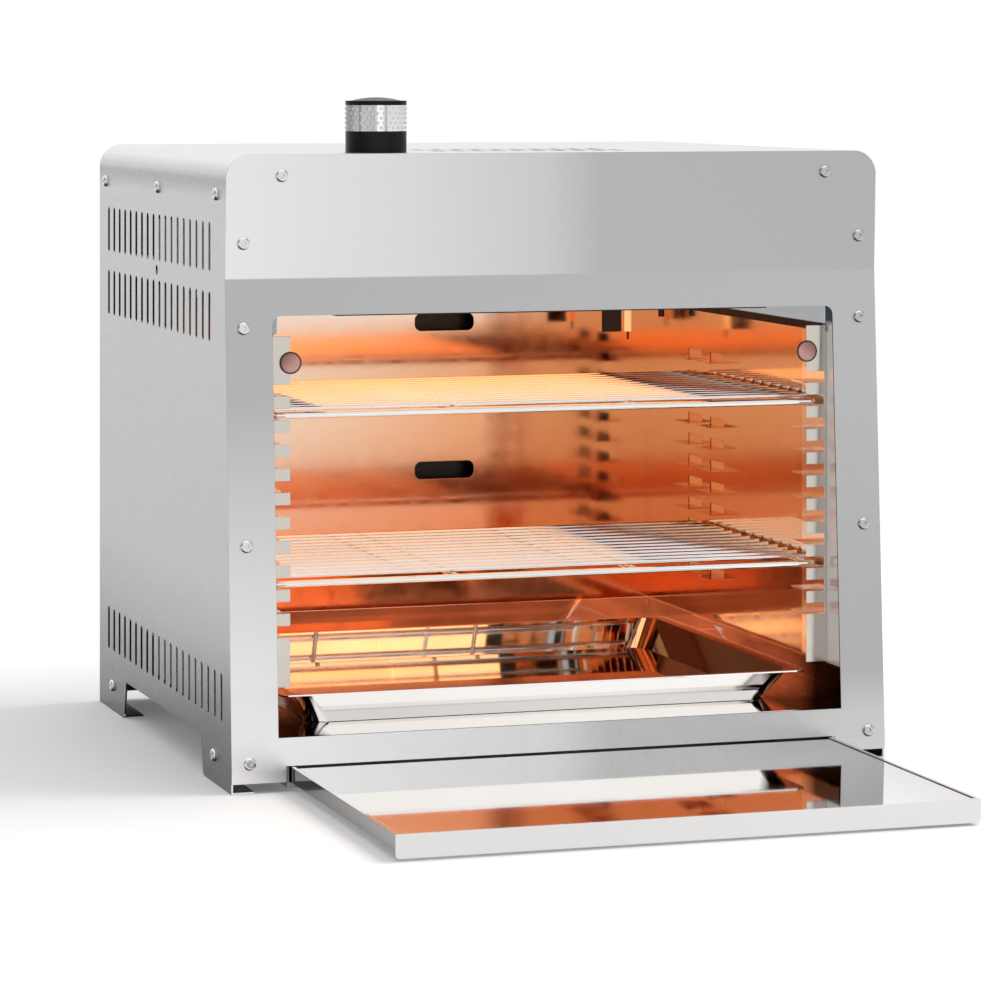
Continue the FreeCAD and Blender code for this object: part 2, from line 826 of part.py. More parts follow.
# Front panel: one sheet bent at two lines, with the cooking opening and the drawer notch
def front_panel():
    body = new_body("front_panel")
    back = S.sheet_t
    pad(body, "YZ", -HALF, S.casing_w, lambda sketch: outline(sketch, [
        (S.front_y, TOP), (panel_y(FOLD_Z), FOLD_Z), (FOOT_Y, S.panel_foot_z),
        (FOOT_Y, S.panel_base_z), (FOOT_Y + back, S.panel_base_z), (FOOT_Y + back, S.panel_foot_z),
        (panel_y(FOLD_Z, back), FOLD_Z), (S.front_y + back, TOP)]))
    plate = body.Tip
    picked = ["Edge%d" % i for i, edge in enumerate(plate.Shape.Edges, start=1)
              if edge.BoundBox.ZMin > TOP.number - 0.01 and edge.BoundBox.XLength < 0.01]
    corner = body.newObject("PartDesign::Fillet", "front_panel_corners")
    corner.Base = (plate, picked)
    bind(corner, "Radius", S.bend_r)
    doc.recompute()
    half = OPEN_HALF
    deep = S.front_y + 20 - BEFORE
    cut(body, "XZ", BEFORE, deep, lambda sketch: outline(sketch, [
        (-half, S.floor_z - S.opening_sill), (half, S.floor_z - S.opening_sill),
        (half, OPEN_TOP, S.opening_r),
        (-half, OPEN_TOP, S.opening_r)]))
    notch = TRAY_HALF + S.rail_gap + S.sheet_t + S.notch_side_gap
    cut(body, "XZ", BEFORE, deep, lambda sketch: rectangle(
        sketch, -notch, S.panel_base_z - 5, notch, S.tray_top_z + S.notch_gap))

    def holes(sketch):
        for x, z in FRONT_SCREWS:
            disc(sketch, x, z, HOLE_R)

    cut(body, "XZ", BEFORE, deep, holes)
    return keep(body, "front_panel")


# Back panel: a flat cover with vents and the hole for the gas inlet
def back_panel():
    body = new_body("back_panel")
    side = HALF - S.back_inset
    pad(body, "XZ", REAR, S.sheet_t, lambda sketch: outline(sketch, [
        (-side, S.back_base_z), (side, S.back_base_z), (side, TOP - S.back_inset, S.bend_r - S.back_inset),
        (-side, TOP - S.back_inset, S.bend_r - S.back_inset)]))
    start = HALF - S.back_slot_margin
    for low in (SLOT_ROWS[1], S.slot_low_z):
        first = cut(body, "XZ", REAR - 1, S.sheet_t + 2, lambda sketch: slot(
            sketch, -start, low, low + S.slot_len, S.slot_w))
        repeat(body, first, "X", start * 2 / (S.back_slot_count - 1), S.back_slot_count)

    def holes(sketch):
        for x, z in BACK_SCREWS:
            disc(sketch, x, z, HOLE_R)
        disc(sketch, INLET_X, GAS_Z, S.inlet_root_r + S.hole_gap)

    cut(body, "XZ", REAR - 1, S.sheet_t + 2, holes)
    return keep(body, "back_panel")


# Base pan: the plate under the cavity, with an ear at each foot
def base_pan():
    body = new_body("base_pan")
    front = panel_y(S.floor_z, S.sheet_t * 2 + S.base_gap)
    pad(body, "XY", FLOOR_UNDER, S.sheet_t, lambda sketch: rectangle(
        sketch, -INNER, front, INNER, REAR - S.sheet_t))
    for side in (-1, 1):
        start = INNER - S.sheet_t if side > 0 else -INNER
        for depth in FOOT_SCREW_DEPTHS:
            low, high = y_at(depth) - S.ear_half, y_at(depth) + S.ear_half
            pad(body, "YZ", start, S.sheet_t, lambda sketch: rectangle(
                sketch, low, S.ear_base_z, high, FLOOR_UNDER))
            cut(body, "YZ", start - 1, S.sheet_t + 2, lambda sketch: disc(
                sketch, y_at(depth), S.foot_screw_z, HOLE_R))
    return keep(body, "base_pan")


# Drip drawer and its two rails
RAIL_X = TRAY_HALF + S.rail_gap


def drawer_rail(name, side):
    body = new_body(name)
    start = FOOT_Y + 1
    web, lip = side * RAIL_X, side * (RAIL_X - S.rail_lip_w)
    outer, flange = side * (RAIL_X + S.sheet_t), side * (RAIL_X + S.rail_flange)
    pad(body, "XZ", start, REAR - S.rail_rear_gap - start, lambda sketch: outline(sketch, [
        (lip, S.rail_base_z), (outer, S.rail_base_z), (outer, FLOOR_UNDER - S.sheet_t),
        (flange, FLOOR_UNDER - S.sheet_t), (flange, FLOOR_UNDER), (web, FLOOR_UNDER),
        (web, S.rail_base_z + S.rail_lip_h), (lip, S.rail_base_z + S.rail_lip_h)]))
    low = S.tray_top_z + S.notch_gap - S.notch_side_gap
    left = RAIL_X - 10 if side > 0 else -RAIL_X - S.rail_flange - 5
    cut(body, "YZ", left, S.rail_flange + 15, lambda sketch: rectangle(
        sketch, start - 5, low, panel_y(S.floor_z, S.sheet_t * 2 + S.base_gap), S.floor_z + 5))
    return keep(body, name)


def drawer_tray():
    body = new_body("drawer_tray")
    half, t = TRAY_HALF, S.tray_t
    front = y_at(-S.tray_out)
    rear = front + S.casing_d - S.tray_len_less
    under_rim = S.tray_top_z - S.tray_rim_h
    plate_base = under_rim - t
    inside = front + S.tray_lip_t
    pad(body, "XY", plate_base, t, lambda sketch: rectangle(sketch, -half, front, half, rear))

    def rim(sketch):
        w = S.tray_rim_w
        rectangle(sketch, -half, front, half, rear)
        rectangle(sketch, -half + w, front + w, half - w, rear - w)

    pad(body, "XY", under_rim, S.tray_rim_h, rim)

    def walls(sketch):
        outline(sketch, [(-half, inside), (-half + t, inside), (-half + t, rear - t), (half - t, rear - t),
                         (half - t, inside), (half, inside), (half, rear), (-half, rear)])

    pad(body, "XY", S.tray_wall_base_z, plate_base - S.tray_wall_base_z, walls)
    pad(body, "XZ", front, S.tray_lip_t, lambda sketch: outline(sketch, [
        (-half, S.tray_lip_base_z, S.tray_lip_r), (half, S.tray_lip_base_z, S.tray_lip_r),
        (half, plate_base), (-half, plate_base)]))
    hem = RAIL_X - S.rail_lip_w - 1
    pad(body, "XY", S.tray_lip_base_z, t, lambda sketch: rectangle(
        sketch, -hem, inside, hem, inside + S.tray_hem))
    return keep(body, "drawer_tray")


# Cavity liner
LINER_FRONT = S.sheet_t
LINER_REAR = REAR - S.liner_rear_gap
TAB_YS = (REAR - S.tab_rear_gap, REAR - S.tab_rear_gap + S.tab_pitch)


def span(side, near, far):
    """The lower end and the width of an X interval given as distances from the middle."""
    return (near if side > 0 else -far), far - near


def cavity_floor():
    """The polished floor of the cavity, turned up along its sides and its back."""
    body = new_body("cavity_floor")
    front, t = panel_y(S.floor_z, LINER_FRONT), S.tub_t
    pad(body, "XY", TUB_BASE, t, lambda sketch: rectangle(sketch, -LINER, front, LINER, LINER_REAR))
    front = panel_y(TUB_TOP, LINER_FRONT)
    pad(body, "XY", S.floor_z, S.tub_wall_h, lambda sketch: outline(sketch, [
        (-LINER, front), (-LINER + t, front), (-LINER + t, LINER_REAR - t), (LINER - t, LINER_REAR - t),
        (LINER - t, front), (LINER, front), (LINER, LINER_REAR), (-LINER, LINER_REAR)]))
    return keep(body, "cavity_floor")


def liner_side(name, side):
    body = new_body(name)
    base, top = LINER_BASE, CEILING
    start, thick = span(side, LINER, LINER + S.liner_t)
    pad(body, "YZ", start, thick, lambda sketch: outline(sketch, [
        (panel_y(base, LINER_FRONT), base), (LINER_REAR, base), (LINER_REAR, top),
        (panel_y(top, LINER_FRONT), top)]))
    start, thick = span(side, LINER + S.liner_t, LINER + S.liner_t + S.liner_flange)
    pad(body, "YZ", start, thick, lambda sketch: outline(sketch, [
        (panel_y(base, LINER_FRONT), base), (panel_y(base, LINER_FRONT + S.liner_t), base),
        (panel_y(top, LINER_FRONT + S.liner_t), top), (panel_y(top, LINER_FRONT), top)]))
    low_x = start
    pad(body, "XY", base, S.liner_t, lambda sketch: rectangle(
        sketch, low_x, panel_y(base + S.liner_t, LINER_FRONT), low_x + thick, LINER_REAR))
    lowest = level_z(S.level_count - 1)
    start, thick = span(side, LINER - 1, LINER + S.liner_t + 1)

    def windows(sketch):
        for y in TAB_YS:
            rectangle(sketch, y, lowest, y + S.tab_d, lowest + S.tab_window_h)

    first = cut(body, "YZ", start, thick, windows)
    repeat(body, first, "Z", LEVEL_PITCH, S.level_count)
    inner, outer = span(side, LINER - S.tab_in, LINER)

    def tabs(sketch):
        for y in TAB_YS:
            rectangle(sketch, inner, y, inner + outer, y + S.tab_d)

    first = pad(body, "XY", lowest - S.liner_t, S.liner_t, tabs)
    repeat(body, first, "Z", LEVEL_PITCH, S.level_count)
    return keep(body, name)


def liner_back():
    body = new_body("liner_back")
    side = LINER + S.liner_t
    pad(body, "XZ", LINER_REAR, S.liner_t, lambda sketch: rectangle(
        sketch, -side, LINER_BASE, side, CEILING))
    pad(body, "XY", LINER_BASE, S.liner_t, lambda sketch: rectangle(
        sketch, -side, LINER_REAR + S.liner_t, side, LINER_REAR + S.liner_t + S.liner_flange))
    half = S.window_w / 2

    def windows(sketch):
        for low in (OPEN_TOP - S.window_top_drop, OPEN_TOP - S.window_low_drop):
            rectangle(sketch, S.window_x - half, low, S.window_x + half, low + S.window_h, S.window_r)

    cut(body, "XZ", LINER_REAR - 1, S.liner_t + 2, windows)
    return keep(body, "liner_back")


BURNER_FRONT = y_at(S.burner_front)
BURNER_REAR = REAR - S.burner_rear_gap
TILES_W = (BURNER_HALF - S.tile_margin_x) * 2
TILES_D = BURNER_REAR - BURNER_FRONT - S.tile_margin_y * 2
TILE_FRONT = BURNER_FRONT + S.tile_margin_y
TILE_BASE = CEILING - S.tile_drop
IGNITER_Y = REAR - S.igniter_rear_gap
ELECTRODE_X = BURNER_HALF + S.electrode_out
COUPLE_X = LINER - S.couple_inset


def ceiling_plate():
    body = new_body("ceiling_plate")
    side = LINER + S.liner_t
    mouth = TILES_W / 2 + S.gasket_w
    low, high = TILE_FRONT - S.gasket_w, TILE_FRONT + TILES_D + S.gasket_w
    pad(body, "XY", CEILING, S.liner_t, lambda sketch: rectangle(
        sketch, -side, panel_y(CEILING + S.liner_t, LINER_FRONT), side, LINER_REAR + S.liner_t))
    cut(body, "XY", CEILING - 1, S.liner_t + 2, lambda sketch: rectangle(
        sketch, -mouth, low, mouth, high))

    def holes(sketch):
        disc(sketch, ELECTRODE_X, IGNITER_Y, S.electrode_r + S.hole_gap)
        disc(sketch, COUPLE_X, IGNITER_Y, S.couple_r + S.hole_gap)

    cut(body, "XY", CEILING - 1, S.liner_t + 2, holes)
    return keep(body, "ceiling_plate")


def deflector(name, side):
    """A strip hung from the ceiling along the wall, its foot sloped out to the wall."""
    body = new_body(name)
    t = S.liner_t
    outer = LINER - S.deflector_gap
    inner = outer - t - S.deflector_slope
    low = CEILING - S.deflector_drop
    foot = low - S.deflector_lip
    join = low + t
    start = y_at(S.deflector_front)
    end = REAR - S.deflector_rear_gap
    near, thick = span(side, inner, inner + t)
    pad(body, "XZ", start, end - start, lambda sketch: rectangle(sketch, near, low, near + thick, CEILING))
    start = y_at(S.comb_y) + S.sheet_t + S.base_gap
    corners = [(inner, join), (inner, low), (outer - t, foot), (outer, foot),
               (inner + t, low), (inner + t, join)]
    pad(body, "XZ", start, end - start, lambda sketch: outline(
        sketch, [(side * x, z) for x, z in corners]))
    return keep(body, name)


# Rack combs: notched strips just inside the opening
def rack_comb(name, side):
    body = new_body(name)
    t = S.sheet_t
    front, rear = y_at(S.comb_y), y_at(S.comb_y + S.comb_d)
    low, high = TUB_TOP + S.base_gap, OPEN_TOP - S.comb_top_drop
    foot = CEILING - S.deflector_drop - S.deflector_lip
    start, thick = span(side, LINER - t, LINER)
    pad(body, "YZ", start, thick, lambda sketch: rectangle(
        sketch, front, low, rear, foot - S.base_gap))
    inner = LINER - S.comb_w
    pad(body, "XZ", front, t, lambda sketch: rectangle(
        sketch, side * inner, low, side * (LINER - t), high))
    pad(body, "XZ", front - t, t, lambda sketch: disc(
        sketch, side * inner, OPEN_TOP - S.stop_disc_drop, S.stop_disc_r))
    lowest = level_z(S.level_count - 1)
    notch_x, notch_w = span(side, inner - 1, LINER - S.notch_root)
    first = cut(body, "XZ", front - 1, t + 2, lambda sketch: rectangle(
        sketch, notch_x, lowest, notch_x + notch_w, lowest + S.notch_h))
    repeat(body, first, "Z", LEVEL_PITCH, S.level_count)
    ledge_x, ledge_w = span(side, LINER - t - S.ledge_in, LINER - t)
    start_y = y_at(S.ledge_front)
    first = pad(body, "XY", lowest - t, t, lambda sketch: rectangle(
        sketch, ledge_x, start_y, ledge_x + ledge_w, start_y + S.ledge_d))
    repeat(body, first, "Z", LEVEL_PITCH, S.level_count)
    return keep(body, name)


# Wire racks: a round bar frame, cross rods and two ribs under them
def wire_rack(name, index):
    r, rod_r = S.rack_bar_r, S.rack_rod_r
    z = level_z(index) + S.rest_gap + r
    rod_z = z + r * 0.7 + rod_r
    front, rear = y_at(S.rack_front), REAR - S.rack_rear_gap
    depth = rear - front
    edge = LINER - S.rack_inset
    pieces = []
    for side, word in ((-1, "left"), (1, "right")):
        pieces.append(rod("%s_%s_bar" % (name, word), "Y", side * edge, front, z, r, depth))
        pieces.append(rod("%s_%s_rib" % (name, word), "Y", side * edge / 3, front, z, r * 0.8, depth))
    for y, word in ((front, "front"), (rear, "rear")):
        pieces.append(rod("%s_%s_bar" % (name, word), "X", -edge, y, z, r, edge * 2))
        for side, hand in ((-1, "left"), (1, "right")):
            knuckle = doc.addObject("Part::Sphere", "%s_%s_%s_corner" % (name, word, hand))
            bind(knuckle, "Radius", r)
            pieces.append(move(knuckle, side * edge, y, z))
    half = edge + S.rack_rod_over
    count = int(S.rack_rod_count.number)
    for i in range(1, count + 1):
        y = front + depth * Size(i, "%d" % i) / (S.rack_rod_count + 1)
        pieces.append(rod("%s_rod_%d" % (name, i), "X", -half, y, rod_z, rod_r, half * 2))
    return keep(fuse(name, pieces), name)


# Food pan: a shallow dish with sloped walls and a flat rim
PAN_HALF = LINER - S.pan_inset
PAN_REAR = REAR - S.pan_rear_gap


def pan_outline(sketch, inset, radius):
    side = PAN_HALF - S.pan_side_flange - inset
    low = y_at(S.pan_front + S.pan_end_flange) + inset
    high = PAN_REAR - S.pan_end_flange - inset
    rectangle(sketch, -side, low, side, high, radius)


def loft(body, kind, sections):
    sketches = []
    for z, inset, radius in sections:
        sketch = new_sketch(body, "XY", z)
        pan_outline(sketch, inset, radius)
        sketches.append(sketch)
    doc.recompute()
    feature = body.newObject(kind, body.Name + "_loft")
    feature.Profile = sketches[0]
    feature.Sections = sketches[1:]
    feature.Ruled = True
    doc.recompute()
    return feature


def food_pan():
    body = new_body("food_pan")
    base = S.floor_z + S.rest_gap
    rim_base = base + S.pan_h - S.pan_t
    loft(body, "PartDesign::AdditiveLoft", [
        (base, S.pan_slope, S.pan_corner_r), (rim_base, 0, S.pan_corner_r)])
    pad(body, "XY", rim_base, S.pan_t, lambda sketch: rectangle(
        sketch, -PAN_HALF, y_at(S.pan_front), PAN_HALF, PAN_REAR, S.pan_corner_r / 2))
    t = S.pan_t
    loft(body, "PartDesign::SubtractiveLoft", [
        (base + t, S.pan_slope + t, S.pan_corner_r - t), (rim_base + t, t * 0.9, S.pan_corner_r - t)])
    return keep(body, "food_pan")


# Burner
BURNER_BASE = CEILING + S.liner_t
BURNER_TOP = BURNER_BASE + S.burner_h
MIXER_Z = BURNER_TOP + S.mixer_r + S.mixer_gap
MIXER_Y = y_at(S.mixer_y)
MIXER_END = BURNER_HALF - S.mixer_inset


def burner_housing():
    t = S.sheet_t
    half, front, rear = BURNER_HALF, BURNER_FRONT, BURNER_REAR
    shell = box("housing_outside", -half, half, front, rear, BURNER_BASE, BURNER_TOP)
    hollow = box("housing_inside", -half + t, half - t, front + t, rear - t, BURNER_BASE - 1, BURNER_TOP - t)
    mouth = box("housing_mouth", t, S.throat_w - t, MIXER_Y - S.mixer_r, MIXER_Y + S.mixer_r,
                BURNER_TOP - 5, BURNER_TOP + 1)
    openings = fuse("housing_openings", [hollow, mouth])
    return keep(subtract("burner_housing", shell, openings), "burner_housing")


def burner_face():
    """The tiles in their gasket, and the frame that holds them up."""
    half, front = TILES_W / 2, TILE_FRONT
    tile_w = (TILES_W - S.tile_gap * (S.tile_cols - 1)) / S.tile_cols
    tile_d = (TILES_D - S.tile_gap * (S.tile_rows - 1)) / S.tile_rows
    tiles = []
    for row in range(int(S.tile_rows.number)):
        for column in range(int(S.tile_cols.number)):
            x = (tile_w + S.tile_gap) * Size(column, "%d" % column) - half
            y = (tile_d + S.tile_gap) * Size(row, "%d" % row) + front
            tiles.append(box("tile_%d_%d" % (row, column), x, x + tile_w, y, y + tile_d,
                             TILE_BASE, TILE_BASE + S.tile_h))
    group = doc.addObject("Part::Compound", "ceramic_tiles")
    group.Links = tiles
    keep(group, "ceramic_tiles")
    w = S.gasket_w - S.gasket_gap
    rear = front + TILES_D
    outside = box("gasket_outside", -half - w, half + w, front - w, rear + w, TILE_BASE, TILE_BASE + S.tile_h)
    inside = box("gasket_inside", -half, half, front, rear, TILE_BASE - 1, TILE_BASE + S.tile_h + 1)
    keep(subtract("burner_gasket", outside, inside), "burner_gasket")
    lap, wide = S.frame_lap, S.frame_w - S.frame_lap
    plate = box("frame_plate", -half - wide, half + wide, front - wide, rear + wide,
                TILE_BASE - S.sheet_t, TILE_BASE)
    window = box("frame_window", -half + lap, half - lap, front + lap, rear - lap,
                 TILE_BASE - S.sheet_t - 1, TILE_BASE + 1)
    keep(subtract("burner_frame", plate, window), "burner_frame")


def gas_diffuser():
    body = new_body("gas_diffuser")
    inset = S.diffuser_inset
    side = BURNER_HALF - inset
    low, high = BURNER_FRONT + inset, BURNER_REAR - inset
    z = BURNER_TOP - S.sheet_t - S.diffuser_drop
    pad(body, "XY", z, S.liner_t, lambda sketch: rectangle(sketch, -side, low, side, high))

    def feet(sketch):
        for x in (-side, side - S.sheet_t):
            rectangle(sketch, x, low, x + S.sheet_t, high)

    pad(body, "XY", z + S.liner_t, S.diffuser_drop - S.liner_t, feet)
    pitch = S.diffuser_hole_r * 4

    def holes(sketch):
        for step in range(1, 5):
            for hand in (-1, 1):
                disc(sketch, pitch * (hand * step), (low + high) / 2, S.diffuser_hole_r)

    cut(body, "XY", z - 1, S.liner_t + 2, holes)
    return keep(body, "gas_diffuser")


def mixing_tube():
    r, t = S.mixer_r, S.mixer_t
    y, z = MIXER_Y, MIXER_Z
    throat = box("throat_outside", 0, S.throat_w, y - r - t, y + r + t, BURNER_TOP, z + r)
    hollow = box("throat_inside", t, S.throat_w - t, y - r, y + r, BURNER_TOP - 1, z + r - t)
    outer = rod("mixer_outside", "X", -MIXER_END, y, z, r, MIXER_END + t)
    bore = rod("mixer_bore", "X", -MIXER_END - 1, y, z, r - t, MIXER_END + t * 2 + 1)
    solid = fuse("mixer_solid", [throat, outer])
    return keep(subtract("mixing_tube", solid, fuse("mixer_hollow", [hollow, bore])), "mixing_tube")


def burner_hanger(name, side):
    """A long angle that carries the burner from the casing's side."""
    body = new_body(name)
    t = S.sheet_t
    front, rear = y_at(S.hanger_front), REAR - S.hanger_rear_gap
    start, thick = span(side, INNER - t, INNER)
    pad(body, "YZ", start, thick, lambda sketch: rectangle(
        sketch, front, BURNER_TOP, rear, TOP - S.hanger_drop))
    near, wide = span(side, BURNER_HALF - S.hanger_lap, INNER - t)
    pad(body, "XY", BURNER_TOP, t, lambda sketch: rectangle(sketch, near, front, near + wide, rear))

    def screws(sketch):
        for depth in TOP_SCREW_DEPTHS:
            disc(sketch, y_at(depth), TOP - S.side_screw_drop, HOLE_R)

    cut(body, "YZ", start - 1, t + 2, screws)

    def passages(sketch):
        disc(sketch, ELECTRODE_X, IGNITER_Y, S.lead_hole_r)
        disc(sketch, COUPLE_X, IGNITER_Y, S.lead_hole_r)

    if side > 0:
        cut(body, "XY", BURNER_TOP - 1, t + 2, passages)
    return keep(body, name)


SHIELD_Z = MIXER_Z + S.mixer_r + S.shield_gap


def heat_shield():
    body = new_body("heat_shield")
    side, t = BURNER_HALF, S.liner_t
    front, rear = y_at(S.hanger_front), REAR - S.shield_rear_gap
    foot = BURNER_TOP + S.sheet_t
    pad(body, "XZ", front, rear - front, lambda sketch: outline(sketch, [
        (-side, foot), (-side + t, foot), (-side + t, SHIELD_Z), (side - t, SHIELD_Z), (side - t, foot),
        (side, foot), (side, SHIELD_Z + t), (-side, SHIELD_Z + t)]))
    cut(body, "YZ", -side - 1, t + 2, lambda sketch: disc(
        sketch, MIXER_Y, MIXER_Z, S.pipe_r + S.lead_hole_r))
    return keep(body, "heat_shield")


# Gas valve
VALVE_Y = y_at(S.valve_y)
BONNET_TOP = VALVE_TOP + S.bonnet_t
PLUG_BASE = VALVE_BASE + S.plug_base
PLUG_TOP = PLUG_BASE + S.plug_h
TANG_TOP = VALVE_TOP - S.tang_top_drop
SKIRT_TOP = TOP + S.knob_skirt_rise
HUB_BASE = TOP - S.hub_sink
RING_TOP = SKIRT_TOP + S.ring_h
CAP_RIM = RING_TOP + S.cap_rim_h
CAP_TOP = CAP_RIM + S.cap_dome_h


def valve_body():
    x, y = KNOB_X, VALVE_Y
    block = box("valve_block", x - S.valve_w / 2, x + S.valve_w / 2, y - S.valve_d / 2, y + S.valve_d / 2,
                VALVE_BASE, VALVE_TOP)
    seat = doc.addObject("Part::Cone", "plug_seat")
    bind(seat, "Radius1", S.plug_r - S.plug_taper + S.run_gap)
    bind(seat, "Radius2", S.plug_r + S.run_gap)
    bind(seat, "Height", PLUG_TOP - PLUG_BASE)
    move(seat, x, y, PLUG_BASE)
    relief = rod("plug_relief", "Z", x, y, PLUG_BASE - S.plug_relief,
                 S.plug_r - S.plug_taper + S.run_gap, S.plug_relief)
    upper = rod("valve_upper_bore", "Z", x, y, PLUG_TOP, S.plug_r + S.run_gap, VALVE_TOP - PLUG_TOP + 1)
    inlet = rod("valve_inlet_bore", "Y", x, y, GAS_Z - S.pipe_step, S.port_r, S.valve_d)
    outlet = rod("valve_outlet_bore", "X", x - S.valve_w, y, FEED_Z, S.port_r, S.valve_w)
    tools = [seat, relief, upper, inlet, outlet]
    for side, word in ((-1, "left"), (1, "right")):
        tools.append(rod("valve_%s_tap" % word, "Z", x + side * S.valve_screw_x, y,
                         VALVE_TOP - S.screw_length, S.screw_shank_d / 2 + S.tap_gap, S.screw_length + 1))
    return keep(subtract("valve_body", block, fuse("valve_bores", tools)), "valve_body")


def valve_bonnet():
    body = new_body("valve_bonnet")
    x, y = KNOB_X, VALVE_Y
    pad(body, "XY", VALVE_TOP, S.bonnet_t, lambda sketch: rectangle(
        sketch, x - S.valve_w / 2, y - S.valve_d / 2, x + S.valve_w / 2, y + S.valve_d / 2,
        S.valve_corner_r))

    def holes(sketch):
        disc(sketch, x, y, S.stem_r + S.run_gap)
        for side in (-1, 1):
            disc(sketch, x + side * S.valve_screw_x, y, S.screw_shank_d / 2)

    cut(body, "XY", VALVE_TOP - 1, S.bonnet_t + 2, holes)
    return keep(body, "valve_bonnet")


def valve_plug():
    x, y = KNOB_X, VALVE_Y
    cone = doc.addObject("Part::Cone", "plug_cone")
    bind(cone, "Radius1", S.plug_r - S.plug_taper)
    bind(cone, "Radius2", S.plug_r)
    bind(cone, "Height", PLUG_TOP - PLUG_BASE)
    move(cone, x, y, PLUG_BASE)
    half_w, half_t = S.tang_w / 2 + S.tang_gap, S.tang_t / 2 + S.tang_gap
    groove = box("plug_slot", x - half_w, x + half_w, y - half_t, y + half_t,
                 PLUG_BASE + S.plug_floor, PLUG_TOP + 1)
    return keep(subtract("valve_plug", cone, groove), "valve_plug")


def valve_stem():
    x, y = KNOB_X, VALVE_Y
    shaft = rod("stem_shaft", "Z", x, y, TANG_TOP, S.stem_r, SKIRT_TOP + S.stem_rise - TANG_TOP)
    half_w, half_t = S.tang_w / 2, S.tang_t / 2
    tang = box("stem_tang", x - half_w, x + half_w, y - half_t, y + half_t, PLUG_BASE + S.tang_base, TANG_TOP)
    return keep(fuse("valve_stem", [shaft, tang]), "valve_stem")


def spring_seat():
    x, y = KNOB_X, VALVE_Y
    base = HUB_BASE - S.seat_t
    washer = rod("seat_washer", "Z", x, y, base, S.seat_r, S.seat_t)
    bore = rod("seat_bore", "Z", x, y, base - 1, S.stem_r + S.run_gap, S.seat_t + 2)
    return keep(subtract("spring_seat", washer, bore), "spring_seat")


def valve_spring():
    """A compression spring between the bonnet and the seat: one wire along a helix."""
    wire = S.spring_wire_r.number
    gap = S.spring_gap.number
    height = HUB_BASE.number - S.seat_t.number - BONNET_TOP.number - 2 * wire - 2 * gap
    helix = Part.makeHelix(height / S.spring_turns.number, height, S.spring_r.number)
    ring = Part.Wire(Part.makeCircle(wire, FreeCAD.Vector(S.spring_r.number, 0, 0), FreeCAD.Vector(0, 1, 0)))
    coil = Part.Wire(helix.Edges).makePipeShell([ring], True, True)
    spring = doc.addObject("Part::Feature", "valve_spring")
    spring.Shape = coil
    base = FreeCAD.Vector(KNOB_X.number, VALVE_Y.number, BONNET_TOP.number + wire + gap)
    spring.Placement = FreeCAD.Placement(base, FreeCAD.Rotation())
    return keep(spring, "valve_spring")


def valve_bracket():
    """A hat shaped strap under the top that holds the valve."""
    body = new_body("valve_bracket")
    x, y, t = KNOB_X, VALVE_Y, S.sheet_t
    half, wing = S.bracket_w / 2, S.bracket_w / 2 + S.bracket_flange
    low, high = BONNET_TOP, UNDER_TOP
    start = y - S.bracket_d / 2
    profile = [(-wing, high), (-wing, high - t), (-half, high - t), (-half, low), (half, low),
               (half, high - t),
               (wing, high - t), (wing, high), (half - t, high), (half - t, low + t), (-half + t, low + t),
               (-half + t, high)]
    pad(body, "XZ", start, S.bracket_d, lambda sketch: outline(
        sketch, [(x + across, z) for across, z in profile]))

    def holes(sketch):
        disc(sketch, x, y, S.seat_r + S.hole_gap)
        for side in (-1, 1):
            disc(sketch, x + side * S.valve_screw_x, y, HOLE_R)

    cut(body, "XY", low - 1, t + 2, holes)
    return keep(body, "valve_bracket")


# Knob: skirt, bright ring and cap turn together on the stem
def knob_turning(name, corners):
    body = new_body(name)
    turn(body, lambda sketch: outline(sketch, corners))
    move(body, KNOB_X, VALVE_Y, 0)
    return keep(body, name)


def knob():
    r, bore = S.knob_r, S.stem_r
    top = SKIRT_TOP
    knob_turning("knob_skirt", [
        (bore, HUB_BASE), (S.hub_r, HUB_BASE), (S.hub_r, top - S.knob_top_t),
        (r - S.knob_wall, top - S.knob_top_t), (r - S.knob_wall, TOP - S.knob_sink), (r, TOP - S.knob_sink),
        (r, top), (bore, top)])
    knob_turning("knob_ring", [
        (r - S.ring_wall, top), (r - S.ring_inset, top), (r - S.ring_inset, RING_TOP),
        (r - S.ring_wall, RING_TOP)])
    body = new_body("knob_cap")

    def profile(sketch):
        dome = S.cap_dome_r
        centre, rise = flat(0, CAP_RIM), CAP_TOP.number - CAP_RIM.number
        points = [flat(0, RING_TOP), flat(r, RING_TOP), flat(r, CAP_RIM), flat(dome, CAP_RIM),
                  flat(0, CAP_TOP)]
        lines = [sketch.addGeometry(Part.LineSegment(a, b), False) for a, b in zip(points[:3], points[1:4])]
        middle = FreeCAD.Vector(dome.number * 0.52, centre.y + rise * 0.75, 0)
        arc = sketch.addGeometry(Part.Arc(points[3], middle, points[4]), False)
        axis = sketch.addGeometry(Part.LineSegment(points[4], points[0]), False)
        for first, second in zip(lines, lines[1:]):
            sketch.addConstraint(Sketcher.Constraint("Coincident", first, 2, second, 1))
        rim_end, crown = (1, 2) if (sketch.getPoint(arc, 1) - points[3]).Length < 0.01 else (2, 1)
        sketch.addConstraint(Sketcher.Constraint("Coincident", lines[2], 2, arc, rim_end))
        sketch.addConstraint(Sketcher.Constraint("Coincident", axis, 1, arc, crown))
        sketch.addConstraint(Sketcher.Constraint("Coincident", axis, 2, lines[0], 1))
        place_point(sketch, lines[0], 1, 0, RING_TOP)
        place_point(sketch, lines[1], 1, r, RING_TOP)
        place_point(sketch, lines[2], 1, r, CAP_RIM)
        place_point(sketch, lines[2], 2, dome, CAP_RIM)
        place_point(sketch, axis, 1, 0, CAP_TOP)
        sketch.addConstraint(Sketcher.Constraint("PointOnObject", arc, 3, -2))

    turn(body, profile)
    move(body, KNOB_X, VALVE_Y, 0)
    keep(body, "knob_cap")


